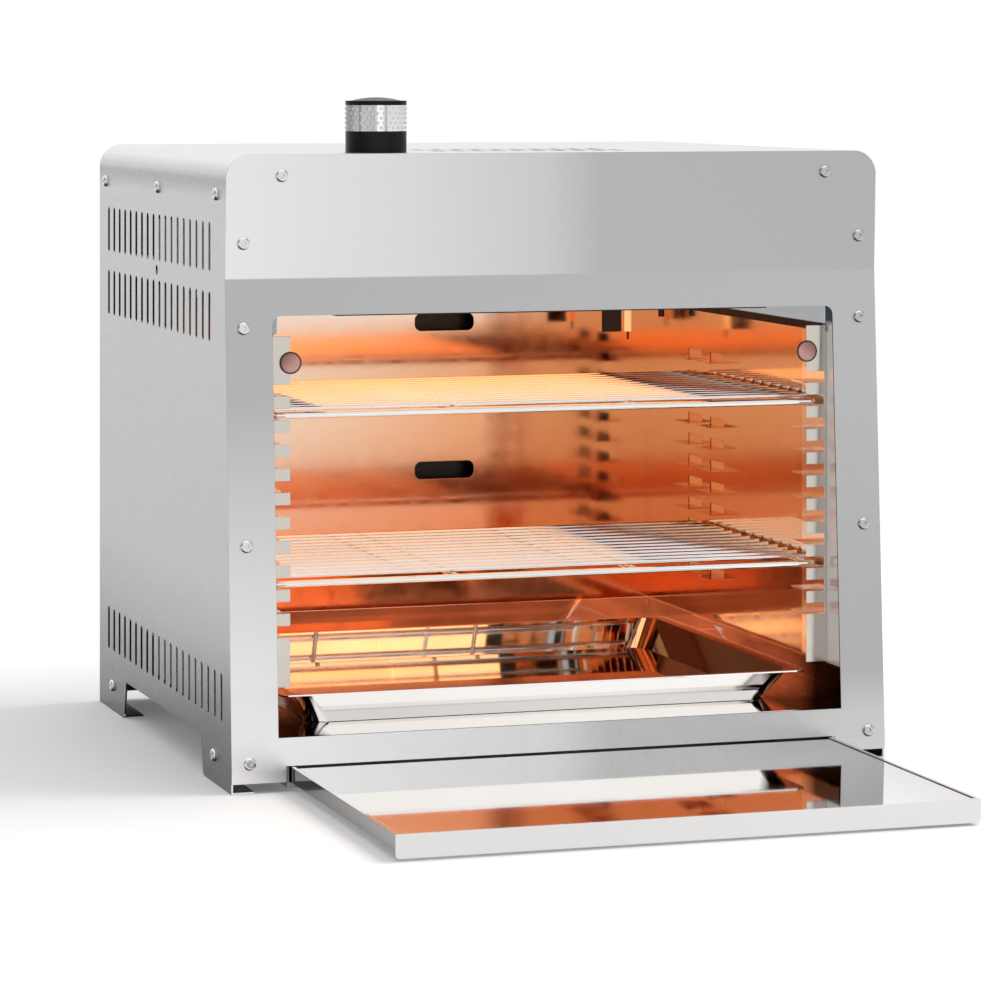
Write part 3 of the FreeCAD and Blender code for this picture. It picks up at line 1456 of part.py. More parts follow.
# Gas train
INLET_START = REAR - S.sheet_t - S.inlet_flange_t


def inlet():
    x, z = INLET_X, GAS_Z
    thread = REAR + S.sheet_t + S.nut_t + S.inlet_relief
    length = thread + S.inlet_thread - INLET_START
    pieces = [
        rod("inlet_root", "Y", x, INLET_START, z, S.inlet_root_r, thread - INLET_START),
        rod("inlet_thread", "Y", x, thread, z, S.inlet_r, S.inlet_thread),
        rod("inlet_collar", "Y", x, INLET_START, z, S.inlet_flange_r, S.inlet_flange_t + S.sheet_t)]
    bore = rod("inlet_bore", "Y", x, INLET_START - 1, z, S.inlet_bore_r, length + 2)
    keep(subtract("inlet_fitting", fuse("inlet_solid", pieces), bore), "inlet_fitting")
    nut = doc.addObject("Part::Prism", "nut_blank")
    nut.Polygon = 6
    bind(nut, "Circumradius", S.nut_af_r)
    bind(nut, "Height", S.nut_t)
    nut.Placement = FreeCAD.Placement(FreeCAD.Vector(), ALONG["Y"])
    move(nut, x, REAR + S.sheet_t, z)
    hole = rod("nut_hole", "Y", x, REAR, z, S.inlet_root_r, S.nut_t + 5)
    keep(subtract("inlet_nut", nut, hole), "inlet_nut")


def pipes():
    x, y, run = KNOB_X, VALVE_Y, S.pipe_run
    wall = S.pipe_r - S.pipe_wall
    port_y, port_z = y + S.valve_d / 2, GAS_Z - S.pipe_step
    keep(bent_tube("gas_pipe", [
        (x, port_y, port_z), (x, port_y + run, port_z), (INLET_X, port_y + run * 2, GAS_Z),
        (INLET_X, INLET_START, GAS_Z)], S.pipe_r, wall, S.pipe_bend_r), "gas_pipe")
    left = x - S.valve_w / 2
    feed_x = left - S.feed_reach
    nozzle = -MIXER_END - S.orifice_len
    keep(bent_tube("feed_pipe", [
        (left, y, FEED_Z), (feed_x, y, FEED_Z), (feed_x, MIXER_Y, FEED_Z), (feed_x, MIXER_Y, MIXER_Z),
        (nozzle, MIXER_Y, MIXER_Z)], S.pipe_r, wall, S.pipe_r * 2), "feed_pipe")
    body = rod("orifice_body", "X", nozzle, MIXER_Y, MIXER_Z, S.orifice_r, S.orifice_len + S.orifice_in)
    jet = rod("orifice_jet", "X", nozzle - 1, MIXER_Y, MIXER_Z, S.orifice_bore_r,
              S.orifice_len + S.orifice_in + 2)
    keep(subtract("orifice", body, jet), "orifice")


def ignition():
    x, y = KNOB_X, VALVE_Y
    right = x + S.valve_w / 2
    magnet_z = TOP - S.magnet_drop
    keep(rod("magnet_unit", "X", right, y, magnet_z, S.magnet_r, S.magnet_len), "magnet_unit")
    piezo_z = BONNET_TOP - S.piezo_h
    keep(box("piezo_igniter", right, right + S.piezo_w, y - S.piezo_d / 2, y + S.piezo_d / 2,
             piezo_z, BONNET_TOP), "piezo_igniter")
    z, top = CEILING - S.electrode_reach, BURNER_TOP - S.electrode_top_drop
    keep(rod("spark_electrode", "Z", ELECTRODE_X, IGNITER_Y, z, S.electrode_r, top - z), "spark_electrode")
    keep(rod("electrode_pin", "Z", ELECTRODE_X, IGNITER_Y, z - S.electrode_pin_len, S.electrode_pin_r,
             S.electrode_pin_len), "electrode_pin")
    flag_x = BURNER_HALF - S.flag_in
    keep(box("thermocouple_flag", flag_x - S.flag_w / 2, flag_x + S.flag_w / 2, IGNITER_Y,
             IGNITER_Y + S.sheet_t, CEILING - S.flag_reach, CEILING), "thermocouple_flag")
    z, couple_top = CEILING - S.couple_reach, BURNER_TOP - S.couple_top_drop
    keep(rod("thermocouple", "Z", COUPLE_X, IGNITER_Y, z, S.couple_r, couple_top - z), "thermocouple")
    lane, run = VALVE_BASE, S.lead_run
    start, lead_z = right + S.piezo_w, piezo_z + S.piezo_h / 2
    keep(bent_tube("igniter_lead", [
        (start, y, lead_z), (start + run, y, lead_z), (BURNER_HALF - run, IGNITER_Y - run * 4, lane + 8),
        (ELECTRODE_X, IGNITER_Y - run, lane + 4), (ELECTRODE_X, IGNITER_Y, lane),
        (ELECTRODE_X, IGNITER_Y, top)],
        S.lead_r, None, S.lead_bend_r), "igniter_lead")
    start = right + S.magnet_len
    keep(bent_tube("thermocouple_lead", [
        (start, y, magnet_z), (start + run, y, magnet_z), (COUPLE_X, IGNITER_Y - run * 4, lane + 4),
        (COUPLE_X, IGNITER_Y, lane), (COUPLE_X, IGNITER_Y, couple_top)],
        S.lead_r, None, S.lead_bend_r), "thermocouple_lead")


# Fasteners: one screw, copied to every hole
def master_screw():
    """A screw along Z with its head above Z = 0."""
    head = rod("screw_head_blank", "Z", 0, 0, 0, S.screw_head_d / 2, S.screw_head_h)
    domed = round_edges("screw_head", head, S.screw_head_h * 0.75,
                        lambda edge: edge.BoundBox.ZMin > S.screw_head_h.number - 0.01)
    shank = rod("screw_shank", "Z", 0, 0, -S.screw_length, S.screw_shank_d / 2, S.screw_length + 0.5)
    key = doc.addObject("Part::Prism", "screw_key")
    key.Polygon = 6
    bind(key, "Circumradius", S.screw_key / 1.732)
    bind(key, "Height", S.screw_key_depth + 1)
    move(key, 0, 0, S.screw_head_h - S.screw_key_depth)
    return subtract("screw", fuse("screw_solid", [domed, shank]), key)


def screw_group(name, master, places):
    """One compound of separate screws; a place is a point and the way its head faces."""
    copies = []
    for index, (point, facing) in enumerate(places, start=1):
        link = doc.addObject("App::Link", "%s_%d" % (name, index))
        link.LinkedObject = master
        turned = FreeCAD.Rotation(FreeCAD.Vector(0, 0, 1), facing)
        link.Placement = FreeCAD.Placement(FreeCAD.Vector(), turned)
        copies.append(move(link, *point))
    group = doc.addObject("Part::Compound", name)
    group.Links = copies
    return keep(group, name)


def fasteners():
    master = master_screw()
    doc.recompute()
    upper = FreeCAD.Vector(0, -S.fascia_h.number, -S.fascia_lean.number)
    drop = FOLD_Z.number - S.panel_foot_z.number
    lower = FreeCAD.Vector(0, -drop, S.fascia_lean.number + S.panel_flare.number)
    screw_group("front_screws", master, [
        ((x, panel_y(z), z), upper if z.number > FOLD_Z.number else lower) for x, z in FRONT_SCREWS])
    for side, name in ((-1, "side_screws_left"), (1, "side_screws_right")):
        screw_group(name, master, [
            ((side * HALF, y_at(depth), z), FreeCAD.Vector(side, 0, 0)) for depth, z in SIDE_SCREWS])
    screw_group("back_screws", master, [
        ((x, REAR + S.sheet_t, z), FreeCAD.Vector(0, 1, 0)) for x, z in BACK_SCREWS])
    screw_group("valve_screws", master, [
        ((KNOB_X + side * S.valve_screw_x, VALVE_Y, BONNET_TOP + S.sheet_t), FreeCAD.Vector(0, 0, 1))
        for side in (-1, 1)])


def build():
    casing_shell()
    front_panel()
    back_panel()
    base_pan()
    cavity_floor()
    drawer_rail("drawer_rail_left", -1)
    drawer_rail("drawer_rail_right", 1)
    drawer_tray()
    liner_side("liner_left", -1)
    liner_side("liner_right", 1)
    liner_back()
    ceiling_plate()
    deflector("deflector_left", -1)
    deflector("deflector_right", 1)
    rack_comb("rack_comb_left", -1)
    rack_comb("rack_comb_right", 1)
    wire_rack("upper_rack", S.upper_level)
    wire_rack("middle_rack", S.middle_level)
    food_pan()
    burner_housing()
    burner_face()
    gas_diffuser()
    mixing_tube()
    burner_hanger("burner_hanger_left", -1)
    burner_hanger("burner_hanger_right", 1)
    heat_shield()
    valve_body()
    valve_bonnet()
    valve_plug()
    valve_stem()
    spring_seat()
    valve_spring()
    valve_bracket()
    knob()
    inlet()
    pipes()
    ignition()
    fasteners()


def write_parts():
    doc.recompute()
    for thing in doc.Objects:
        if "Invalid" in thing.State or "Error" in thing.State:
            raise RuntimeError("%s failed" % thing.Name)
    os.makedirs("parts", exist_ok=True)
    for node in nodes:
        shape = node.Shape
        if shape.isNull() or not shape.isValid():
            raise RuntimeError("%s has no valid shape" % node.Label)
        shape.exportStep("parts/%s.step" % node.Label)
    print("%d nodes written" % len(nodes))


build()
write_parts()
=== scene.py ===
import math

import bmesh
import bpy
from mathutils import Matrix, Vector

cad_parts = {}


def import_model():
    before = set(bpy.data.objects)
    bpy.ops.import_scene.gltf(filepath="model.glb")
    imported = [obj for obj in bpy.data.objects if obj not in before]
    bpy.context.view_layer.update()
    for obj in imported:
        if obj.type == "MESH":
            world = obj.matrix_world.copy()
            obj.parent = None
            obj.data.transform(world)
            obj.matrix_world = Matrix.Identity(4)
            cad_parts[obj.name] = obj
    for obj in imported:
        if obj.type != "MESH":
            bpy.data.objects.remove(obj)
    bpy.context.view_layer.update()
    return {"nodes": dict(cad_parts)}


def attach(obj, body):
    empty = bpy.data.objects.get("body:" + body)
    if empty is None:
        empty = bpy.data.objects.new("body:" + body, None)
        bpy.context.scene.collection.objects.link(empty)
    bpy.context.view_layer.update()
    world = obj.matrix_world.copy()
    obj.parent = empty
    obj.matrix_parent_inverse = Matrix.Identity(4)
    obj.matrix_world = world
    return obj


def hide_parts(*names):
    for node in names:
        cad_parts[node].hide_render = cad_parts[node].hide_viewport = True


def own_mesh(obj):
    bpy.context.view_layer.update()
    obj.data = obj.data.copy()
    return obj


# An infrared grill: finishes for its pieces, the knob's studs and spring, a white floor, light
# and the photograph's camera.

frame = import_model()

# Places on the grill, in metres
FRONT_Y = -0.080
MIDDLE = (0.0, 0.112, 0.2)
FOLD_Z = 0.327
KNOB_X, KNOB_Y, KNOB_R = -0.1145, FRONT_Y + 0.038, 0.0199
RING_BASE, RING_TOP = 0.421, 0.4382
STOP_X, STOP_FRONT_Y, STOP_Z = 0.1795, -0.068, 0.272
STRIP_Z = 0.2906
LINER_TOP_Z = 0.2905
DARK_CORNER_X, DARK_CORNER_Y = 0.158, -0.02

# The knob's studs
STUD_ROWS, STUDS_AROUND, STUD_R, STUD_FLATNESS = 5, 30, 0.00095, 0.6

# The photograph's camera, solved from the casing's corners and folds
CAMERA_AT = (-0.83386, FRONT_Y - 2.46174, 0.45788)
CAMERA_YAW = math.radians(17.849)
FOCAL_PIXELS = 3958.95
HORIZON_ROW = 74.9
IMAGE = 1000.0
SENSOR = 36.0

# The lamp, in metres and watts, and the floor's fade to white, in metres from the origin
KEY_AT, KEY_TOWARD, KEY_SIZE, KEY_POWER = (1.5, -0.1, 2.3), (0, 0, 0.1), 1.6, 44.0
FLOOR_SIZE, FADE_FROM, FADE_TO, LEAST_WHITE = 30.0, 0.55, 1.3, 0.12

WHITE = (1.0, 1.0, 1.0)


# Node helpers
class Nodes:
    """The emptied node tree of a material or a world."""

    def __init__(self, owner):
        owner.use_nodes = True
        self.tree = owner.node_tree
        self.tree.nodes.clear()

    def add(self, kind, **values):
        node = self.tree.nodes.new(kind)
        for key, value in values.items():
            setattr(node, key, value)
        return node

    def link(self, source, target):
        self.tree.links.new(source, target)

    def feed(self, socket, value):
        """A socket takes a number, a colour or another node's output."""
        if isinstance(value, (int, float)):
            socket.default_value = value
        elif isinstance(value, tuple):
            socket.default_value = (*value, 1.0)
        else:
            self.link(value, socket)

    def remap(self, value, low, high, from_low=0.3, from_high=0.7):
        node = self.add("ShaderNodeMapRange")
        for key, amount in (("From Min", from_low), ("From Max", from_high),
                            ("To Min", low), ("To Max", high)):
            node.inputs[key].default_value = amount
        self.link(value, node.inputs["Value"])
        return node.outputs["Result"]

    def fade(self, value, start, end):
        """Nought where the value is at its start, one where it is at its end."""
        return self.remap(value, 0.0, 1.0, start, end)

    def ramp(self, value, stops):
        node = self.add("ShaderNodeValToRGB")
        elements = node.color_ramp.elements
        while len(elements) < len(stops):
            elements.new(0.5)
        for element, (place, colour) in zip(elements, stops):
            element.position = place
            element.color = (*colour, 1.0)
        self.link(value, node.inputs["Fac"])
        return node.outputs["Color"]

    def tones(self, value, stops, low=-0.25, high=0.25):
        """A grey that follows a value between low and high, from pairs of value and grey."""
        return self.ramp(self.fade(value, low, high), [
            ((at - low) / (high - low), (tone, tone, tone)) for at, tone in stops])

    def math(self, operation, first, second=0.0):
        node = self.add("ShaderNodeMath", operation=operation)
        for socket, value in zip(node.inputs, (first, second)):
            self.feed(socket, value)
        return node.outputs["Value"]

    def times(self, first, second):
        return self.math("MULTIPLY", first, second)

    def absolute(self, value):
        return self.math("ABSOLUTE", value)

    def mix(self, factor, first, second, blend="MIX"):
        node = self.add("ShaderNodeMix", data_type="RGBA", blend_type=blend)
        for key, value in (("Factor", factor), ("A", first), ("B", second)):
            self.feed(node.inputs[key], value)
        return node.outputs["Result"]

    def split(self, vector):
        parts = self.add("ShaderNodeSeparateXYZ")
        self.link(vector, parts.inputs["Vector"])
        return parts.outputs

    def blend_shaders(self, factor, first, second):
        node = self.add("ShaderNodeMixShader")
        self.link(factor, node.inputs["Fac"])
        self.link(first, node.inputs[1])
        self.link(second, node.inputs[2])
        return node.outputs["Shader"]


class Shader(Nodes):
    """A material with a Principled shader on its output."""

    SOCKETS = {"base": "Base Color", "metallic": "Metallic", "roughness": "Roughness",
               "glow": "Emission Color", "glow_power": "Emission Strength",
               "specular": "Specular IOR Level"}

    def __init__(self, material):
        super().__init__(material)
        self.out = self.add("ShaderNodeOutputMaterial")
        self.surface = self.add("ShaderNodeBsdfPrincipled")
        self.link(self.surface.outputs["BSDF"], self.out.inputs["Surface"])

    def set(self, **values):
        for key, value in values.items():
            self.feed(self.surface.inputs[self.SOCKETS[key]], value)

    def grain(self):
        """The finish's own colour with its fine unevenness."""
        return self.surface.inputs["Base Color"].links[0].from_socket

    def paint(self, tone):
        """A tone over the whole piece that keeps the finish's fine unevenness."""
        self.set(base=self.mix(1.0, tone, self.grain(), "MULTIPLY"))

    def noise(self, scale, detail=3.0):
        """Noise in the object's own metres."""
        texture = self.add("ShaderNodeTexNoise")
        texture.inputs["Scale"].default_value = scale
        texture.inputs["Detail"].default_value = detail
        texture.inputs["Roughness"].default_value = 0.5
        self.link(self.add("ShaderNodeTexCoord").outputs["Object"], texture.inputs["Vector"])
        return texture.outputs["Fac"]

    def place(self):
        """Where a point of the object is, in metres."""
        return self.split(self.add("ShaderNodeTexCoord").outputs["Object"])

    def facing(self):
        return self.split(self.add("ShaderNodeNewGeometry").outputs["Normal"])

    def inward(self):
        """One where a face looks at the casing's middle, and nought on its outside."""
        from_middle = self.add("ShaderNodeVectorMath", operation="SUBTRACT")
        self.link(self.add("ShaderNodeTexCoord").outputs["Object"], from_middle.inputs[0])
        from_middle.inputs[1].default_value = MIDDLE
        along = self.add("ShaderNodeVectorMath", operation="DOT_PRODUCT")
        self.link(from_middle.outputs["Vector"], along.inputs[0])
        self.link(self.add("ShaderNodeNewGeometry").outputs["Normal"], along.inputs[1])
        return self.fade(along.outputs["Value"], 0.0, -0.02)

    def relief(self, height, depth, strength, edge):
        """A fine relief over softened edges."""
        bump = self.add("ShaderNodeBump")
        bump.inputs["Strength"].default_value = strength
        bump.inputs["Distance"].default_value = depth
        self.link(height, bump.inputs["Height"])
        if edge:
            bevel = self.add("ShaderNodeBevel", samples=4)
            bevel.inputs["Radius"].default_value = edge
            self.link(bevel.outputs["Normal"], bump.inputs["Normal"])
        self.link(bump.outputs["Normal"], self.surface.inputs["Normal"])


def tint(colour, factor):
    return tuple(min(1.0, channel * factor) for channel in colour)


def spread_tint(colour, shade):
    return [(0.3, tint(colour, 1 - shade)), (0.7, tint(colour, 1 + shade))]


def metal(name, colour, rough, spread=0.05, grain=260.0, relief=0.08, shade=0.06, edge=0.0005):
    """A metal whose gloss and tone vary a little, with a fine grain and softened edges."""
    shader = Shader(bpy.data.materials[name])
    fine = shader.noise(grain)
    broad = shader.noise(7.0, detail=4.0)
    shader.set(metallic=1.0, roughness=shader.remap(fine, rough - spread, rough + spread),
               base=shader.ramp(broad, spread_tint(colour, shade)))
    shader.relief(fine, 0.00006, relief, edge)
    return shader


def plain(name, colour, rough, metallic=0.0, grain=400.0, relief=0.1, shade=0.15):
    """A painted, moulded or woven finish with a fine uneven surface."""
    shader = Shader(bpy.data.materials[name])
    fine = shader.noise(grain)
    shader.set(metallic=metallic, roughness=shader.remap(fine, rough - 0.05, rough + 0.05),
               base=shader.ramp(fine, spread_tint(colour, shade)))
    shader.relief(fine, 0.0001, relief, 0.0005)
    return shader


# Finishes, many with painted light, shade and reflections in their greys. Their pairs are a
# place in metres, or a part of a face's normal, and a grey.
def casing_steel():
    """Brushed stainless steel, with the tones that a soft studio would give it painted on by
    place and face direction: a painted highlight on its top, painted shade low on its sides, and
    painted shade, near black, on the inside.
    """
    shader = metal("brushed_steel", WHITE, 0.34, grain=420.0, relief=0.05, shade=0.015)
    x, y, z = shader.place()
    nx, ny, nz = shader.facing()

    # Painted reflection: the front is lighter on the left and darker to the right, and lightest
    # at the sill on the left.
    fascia = shader.tones(x, [(-0.22, 0.80), (-0.10, 0.71), (-0.01, 0.61), (0.03, 0.48),
                              (0.22, 0.47)])
    upper = shader.tones(x, [(-0.22, 0.47), (0.22, 0.53)])
    lower = shader.tones(x, [(-0.22, 0.82), (-0.10, 0.75), (-0.02, 0.66), (0.03, 0.46),
                             (0.22, 0.44)])
    sill = shader.tones(x, [(-0.22, 0.92), (-0.10, 0.80), (-0.01, 0.74), (0.03, 0.55),
                            (0.22, 0.57)])
    panel = shader.mix(shader.fade(z, 0.25, 0.07), upper, lower)
    panel = shader.mix(shader.fade(z, 0.06, 0.03), panel, sill)
    front = shader.mix(shader.fade(z, FOLD_Z - 0.0005, FOLD_Z + 0.0005), panel, fascia)

    # Painted shade on the sides: darker towards the floor, with a painted shadow line just under
    # the top bend.
    side = shader.tones(z, [(0.0, 0.14), (0.03, 0.18), (0.055, 0.24), (0.09, 0.38), (0.13, 0.47),
                            (0.30, 0.52), (0.378, 0.55), (0.387, 0.38), (0.3905, 0.38),
                            (0.393, 0.52)], 0.0, 0.42)
    tone = shader.mix(shader.fade(ny, -0.6, -0.8), side, front)
    # A painted highlight on the faces that look up, and a flat grey on the back.
    top_highlight = shader.fade(shader.math("MAXIMUM", nz), 0.10, 0.70)
    tone = shader.mix(top_highlight, tone, (0.86, 0.86, 0.855))
    tone = shader.mix(shader.fade(ny, 0.6, 0.8), tone, (0.62, 0.62, 0.62))
    # Painted shade: the casing's inside is near black.
    inside = shader.inward()
    shader.paint(shader.mix(inside, tone, (0.035, 0.032, 0.03)))

    # Painted glow: the casing's inside gives off an orange light where it shows through the
    # windows of the liners' rear tabs
    height = shader.times(shader.fade(z, 0.07, 0.09), shader.fade(z, 0.30, 0.28))
    rear = shader.fade(y, 0.12, 0.16)
    sides = shader.fade(shader.absolute(nx), 0.6, 0.8)
    shader.set(glow=(0.62, 0.17, 0.05),
               glow_power=shader.times(shader.times(inside, sides), shader.times(height, rear)))


def floor_steel():
    """The cavity's mirror floor, near black at its front corners, with a painted orange glow,
    uneven, on the faces that look into the cavity towards the back.
    """
    shader = metal("floor_steel", (0.93, 0.90, 0.87), 0.05, spread=0.02, grain=90.0, relief=0.01,
                   shade=0.03)
    x, y, z = shader.place()
    # Near black at the front corners, beside the pan.
    dark_corners = shader.times(shader.fade(shader.absolute(x), DARK_CORNER_X, DARK_CORNER_X + 0.008),
                         shader.fade(y, DARK_CORNER_Y, DARK_CORNER_Y - 0.03))
    # Painted glow: an uneven orange light on the faces that look into the cavity, rising towards
    # the back.
    warm = shader.times(shader.inward(), shader.remap(y, 0.0, 0.5, DARK_CORNER_Y, 0.06))
    shader.set(base=shader.mix(dark_corners, shader.grain(), (0.01, 0.008, 0.007)),
               glow=(0.30, 0.06, 0.02),
               glow_power=shader.times(warm, shader.remap(shader.noise(22.0), 0.5, 1.3)))


def deflector_steel():
    """Light and dull above, with a painted glow in place of a reflection of the white outside,
    and painted shade, near black, where the foot slopes out to the wall.
    """
    shader = plain("deflector_steel", WHITE, 0.45, grain=90.0, relief=0.02, shade=0.02)
    painted_glow_top = shader.fade(shader.place()[2], STRIP_Z, STRIP_Z + 0.0006)
    # Painted: a bluish grey with a glow above, for a reflection of the white outside, and near
    # black painted shade on the foot.
    shader.paint(shader.mix(painted_glow_top, (0.002, 0.002, 0.002), (0.14, 0.20, 0.24)))
    shader.set(specular=0.15, glow=(0.30, 0.32, 0.33), glow_power=painted_glow_top)


def walls_in_painted_light():
    """Polished walls with the burner's orange light painted on them, pale high on the left and
    deep orange low down and to the right.
    """
    shader = metal("polished_steel", WHITE, 0.10, spread=0.03, grain=90.0, relief=0.02,
                   shade=0.04)
    x, y, z = shader.place()
    across = shader.fade(x, -0.2, 0.2)
    high = shader.ramp(across, [(0.0, (0.95, 0.84, 0.73)), (0.3, (0.88, 0.60, 0.42)),
                                (0.6, (0.84, 0.40, 0.21)), (1.0, (0.80, 0.34, 0.15))])
    low = shader.ramp(across, [(0.0, (0.80, 0.45, 0.30)), (0.25, (0.80, 0.24, 0.10)),
                               (1.0, (0.65, 0.15, 0.05))])
    # Painted light: the burner's orange, deeper low down than high up.
    warm = shader.mix(shader.fade(z, 0.10, 0.20), low, high)
    # A painted highlight at the top left, and paler painted light on the right wall.
    top_left_highlight = shader.times(shader.fade(z, 0.265, 0.29), shader.fade(x, 0.14, 0.04))
    warm = shader.mix(top_left_highlight, warm, (0.93, 0.82, 0.72))
    right_wall_painted_light = shader.fade(shader.facing()[0], -0.5, -0.8)
    warm = shader.mix(right_wall_painted_light, warm, (0.80, 0.60, 0.42))

    # The walls' front edges are painted a pale grey in place of the orange light, and black
    # above the opening as painted shade
    edge = shader.fade(y, -0.052, -0.060)
    pale = shader.mix(shader.fade(z, LINER_TOP_Z, LINER_TOP_Z + 0.002), (0.74, 0.76, 0.78),
                      (0.01, 0.01, 0.01))
    shader.paint(shader.mix(edge, warm, pale))
    shader.set(metallic=shader.math("SUBTRACT", 1.0, shader.times(edge, 0.8)))


def tray_steel():
    """Polished steel with painted reflection and shade: the top greys towards the right, the
    faces that look left are near black, and the front lip is greyer towards its front.
    """
    shader = metal("tray_steel", WHITE, 0.04, spread=0.01, grain=90.0, relief=0.008,
                   shade=0.015)
    x, y, z = shader.place()
    nx, ny, nz = shader.facing()
    # Painted reflection and shade, by place and face direction.
    top = shader.tones(x, [(-0.2, 0.98), (0.09, 0.96), (0.19, 0.66)])
    side = shader.tones(y, [(-0.33, 0.20), (-0.25, 0.15), (-0.12, 0.05)], -0.35, 0.0)
    tone = shader.mix(shader.fade(nx, -0.6, -0.8), top, side)
    lip = shader.tones(y, [(-0.33, 0.70), (-0.28, 0.70), (-0.20, 0.96)], -0.35, 0.0)
    shader.paint(shader.mix(shader.fade(ny, -0.4, -0.7), tone, lip))


def knob_chrome():
    """Chrome with painted reflection bands, as a studio's panels would leave on a round piece.
    """
    shader = metal("knob_chrome", WHITE, 0.12, spread=0.03, grain=500.0, edge=0.0004)
    # Painted reflection: light and dark bands by how far each face looks to the side.
    shader.paint(shader.tones(shader.facing()[0], [
        (-1.0, 0.25), (-0.93, 0.45), (-0.85, 0.75), (-0.77, 0.70), (-0.74, 0.28), (-0.70, 0.85),
        (-0.55, 0.70), (-0.38, 0.48), (-0.27, 0.52), (-0.21, 0.98), (-0.06, 0.90), (0.06, 0.42),
        (0.16, 0.98)], -1.0, 1.0))


def knob_cap():
    """A dull grey dome over a black rim."""
    shader = plain("cap_metal", WHITE, 0.45, grain=700.0, relief=0.03, shade=0.08)
    dome = shader.fade(shader.facing()[2], 0.15, 0.45)
    shader.paint(shader.mix(dome, (0.004, 0.004, 0.004), (0.13, 0.13, 0.13)))
    shader.set(specular=0.15)


def screw_steel():
    """Round heads in the panel's painted reflection tone, with a painted highlight on the rim
    above and painted shade on the rim below.
    """
    shader = metal("screw_steel", WHITE, 0.16, spread=0.03, grain=500.0, edge=0.0003)
    x, y, z = shader.place()
    nx, ny, nz = shader.facing()
    across = shader.math("ADD", shader.math("ADD", nx, ny), 1.0)
    shade_side = shader.math("SUBTRACT", shader.times(across, -0.5), nz)
    face = shader.tones(x, [(-0.22, 0.72), (-0.10, 0.66), (0.03, 0.52), (0.22, 0.50)])
    # A painted highlight on the upper rim, and painted shade, near black, on the lower rim.
    tone = shader.mix(shader.fade(shade_side, -0.15, -0.45), face, WHITE)
    shader.paint(shader.mix(shader.fade(shade_side, 0.25, 0.6), tone, (0.04, 0.04, 0.04)))


def comb_steel():
    """The notched strips, with brown round stops that are painted darker across their face as
    shade and painted near black at their rim.
    """
    shader = metal("comb_steel", (0.92, 0.86, 0.78), 0.20, spread=0.03, grain=120.0, relief=0.02,
                   shade=0.03)
    x, y, z = shader.place()
    across = shader.math("SUBTRACT", shader.absolute(x), STOP_X)
    upward = shader.math("SUBTRACT", z, STOP_Z)
    radius = shader.math("SQRT", shader.math("ADD", shader.times(across, across),
                                             shader.times(upward, upward)))
    # Painted shade: each stop darkens across its face, and its rim is painted near black.
    shade_slant = shader.fade(shader.math("ADD", across, upward), -0.004, 0.006)
    stop_brown_and_shade = shader.mix(shade_slant, (0.50, 0.30, 0.27), (0.30, 0.15, 0.13))
    stop_brown_and_shade = shader.mix(shader.fade(radius, 0.0056, 0.0068), stop_brown_and_shade, (0.03, 0.02, 0.02))
    stop = shader.fade(y, STOP_FRONT_Y + 0.00005, STOP_FRONT_Y - 0.0001)
    shader.set(base=shader.mix(stop, shader.grain(), stop_brown_and_shade))


def glowing_ceramic():
    """Cordierite tiles at work: a fine grid of holes, orange hot on their underside."""
    shader = Shader(bpy.data.materials["ceramic"])
    cells = shader.add("ShaderNodeTexVoronoi")
    cells.inputs["Scale"].default_value = 330.0
    cells.inputs["Randomness"].default_value = 0.0
    shader.link(shader.add("ShaderNodeTexCoord").outputs["Object"], cells.inputs["Vector"])
    holes = shader.fade(cells.outputs["Distance"], 0.18, 0.34)
    power = shader.math("ADD", shader.times(holes, 0.8), 1.0)
    below = shader.fade(shader.facing()[2], 0.2, -0.2)
    warm = shader.ramp(shader.noise(16.0), [(0.3, (1.0, 0.33, 0.09)), (0.7, (1.0, 0.46, 0.17))])
    shader.set(base=(0.86, 0.78, 0.66), roughness=0.8, glow=warm,
               glow_power=shader.times(power, below))


def dress_materials():
    casing_steel()
    floor_steel()
    deflector_steel()
    comb_steel()
    walls_in_painted_light()
    tray_steel()
    metal("galvanised_steel", (0.50, 0.51, 0.52), 0.42, grain=60.0, shade=0.12)
    # Painted shade: the sheets in this finish are near black.
    plain("shade_steel", (0.045, 0.045, 0.045), 0.5, metallic=0.5, grain=60.0)
    metal("wire_chrome", (0.84, 0.82, 0.80), 0.10, spread=0.03, grain=200.0, edge=0)
    knob_chrome()
    metal("brass", (0.72, 0.52, 0.24), 0.28, grain=300.0)
    metal("aluminium", (0.66, 0.66, 0.67), 0.35, grain=200.0)
    metal("copper", (0.72, 0.36, 0.22), 0.30, grain=300.0)
    screw_steel()
    plain("dark_steel", (0.035, 0.032, 0.030), 0.50, metallic=0.4)
    plain("black_plastic", (0.004, 0.004, 0.004), 0.35, grain=900.0, relief=0.03).set(
        specular=0.2)
    knob_cap()
    plain("gasket", (0.70, 0.67, 0.60), 0.9, relief=0.4)
    plain("lead", (0.05, 0.05, 0.05), 0.55)
    glowing_ceramic()


# New pieces
def in_scene(name, data):
    thing = bpy.data.objects.new(name, data)
    bpy.context.scene.collection.objects.link(thing)
    return thing


def mesh_data(name, mesh):
    data = bpy.data.meshes.new(name)
    mesh.to_mesh(data)
    mesh.free()
    return data


def mesh_object(name, data, material, body):
    thing = in_scene(name, data)
    thing.data.materials.append(bpy.data.materials[material])
    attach(thing, body)
    return thing


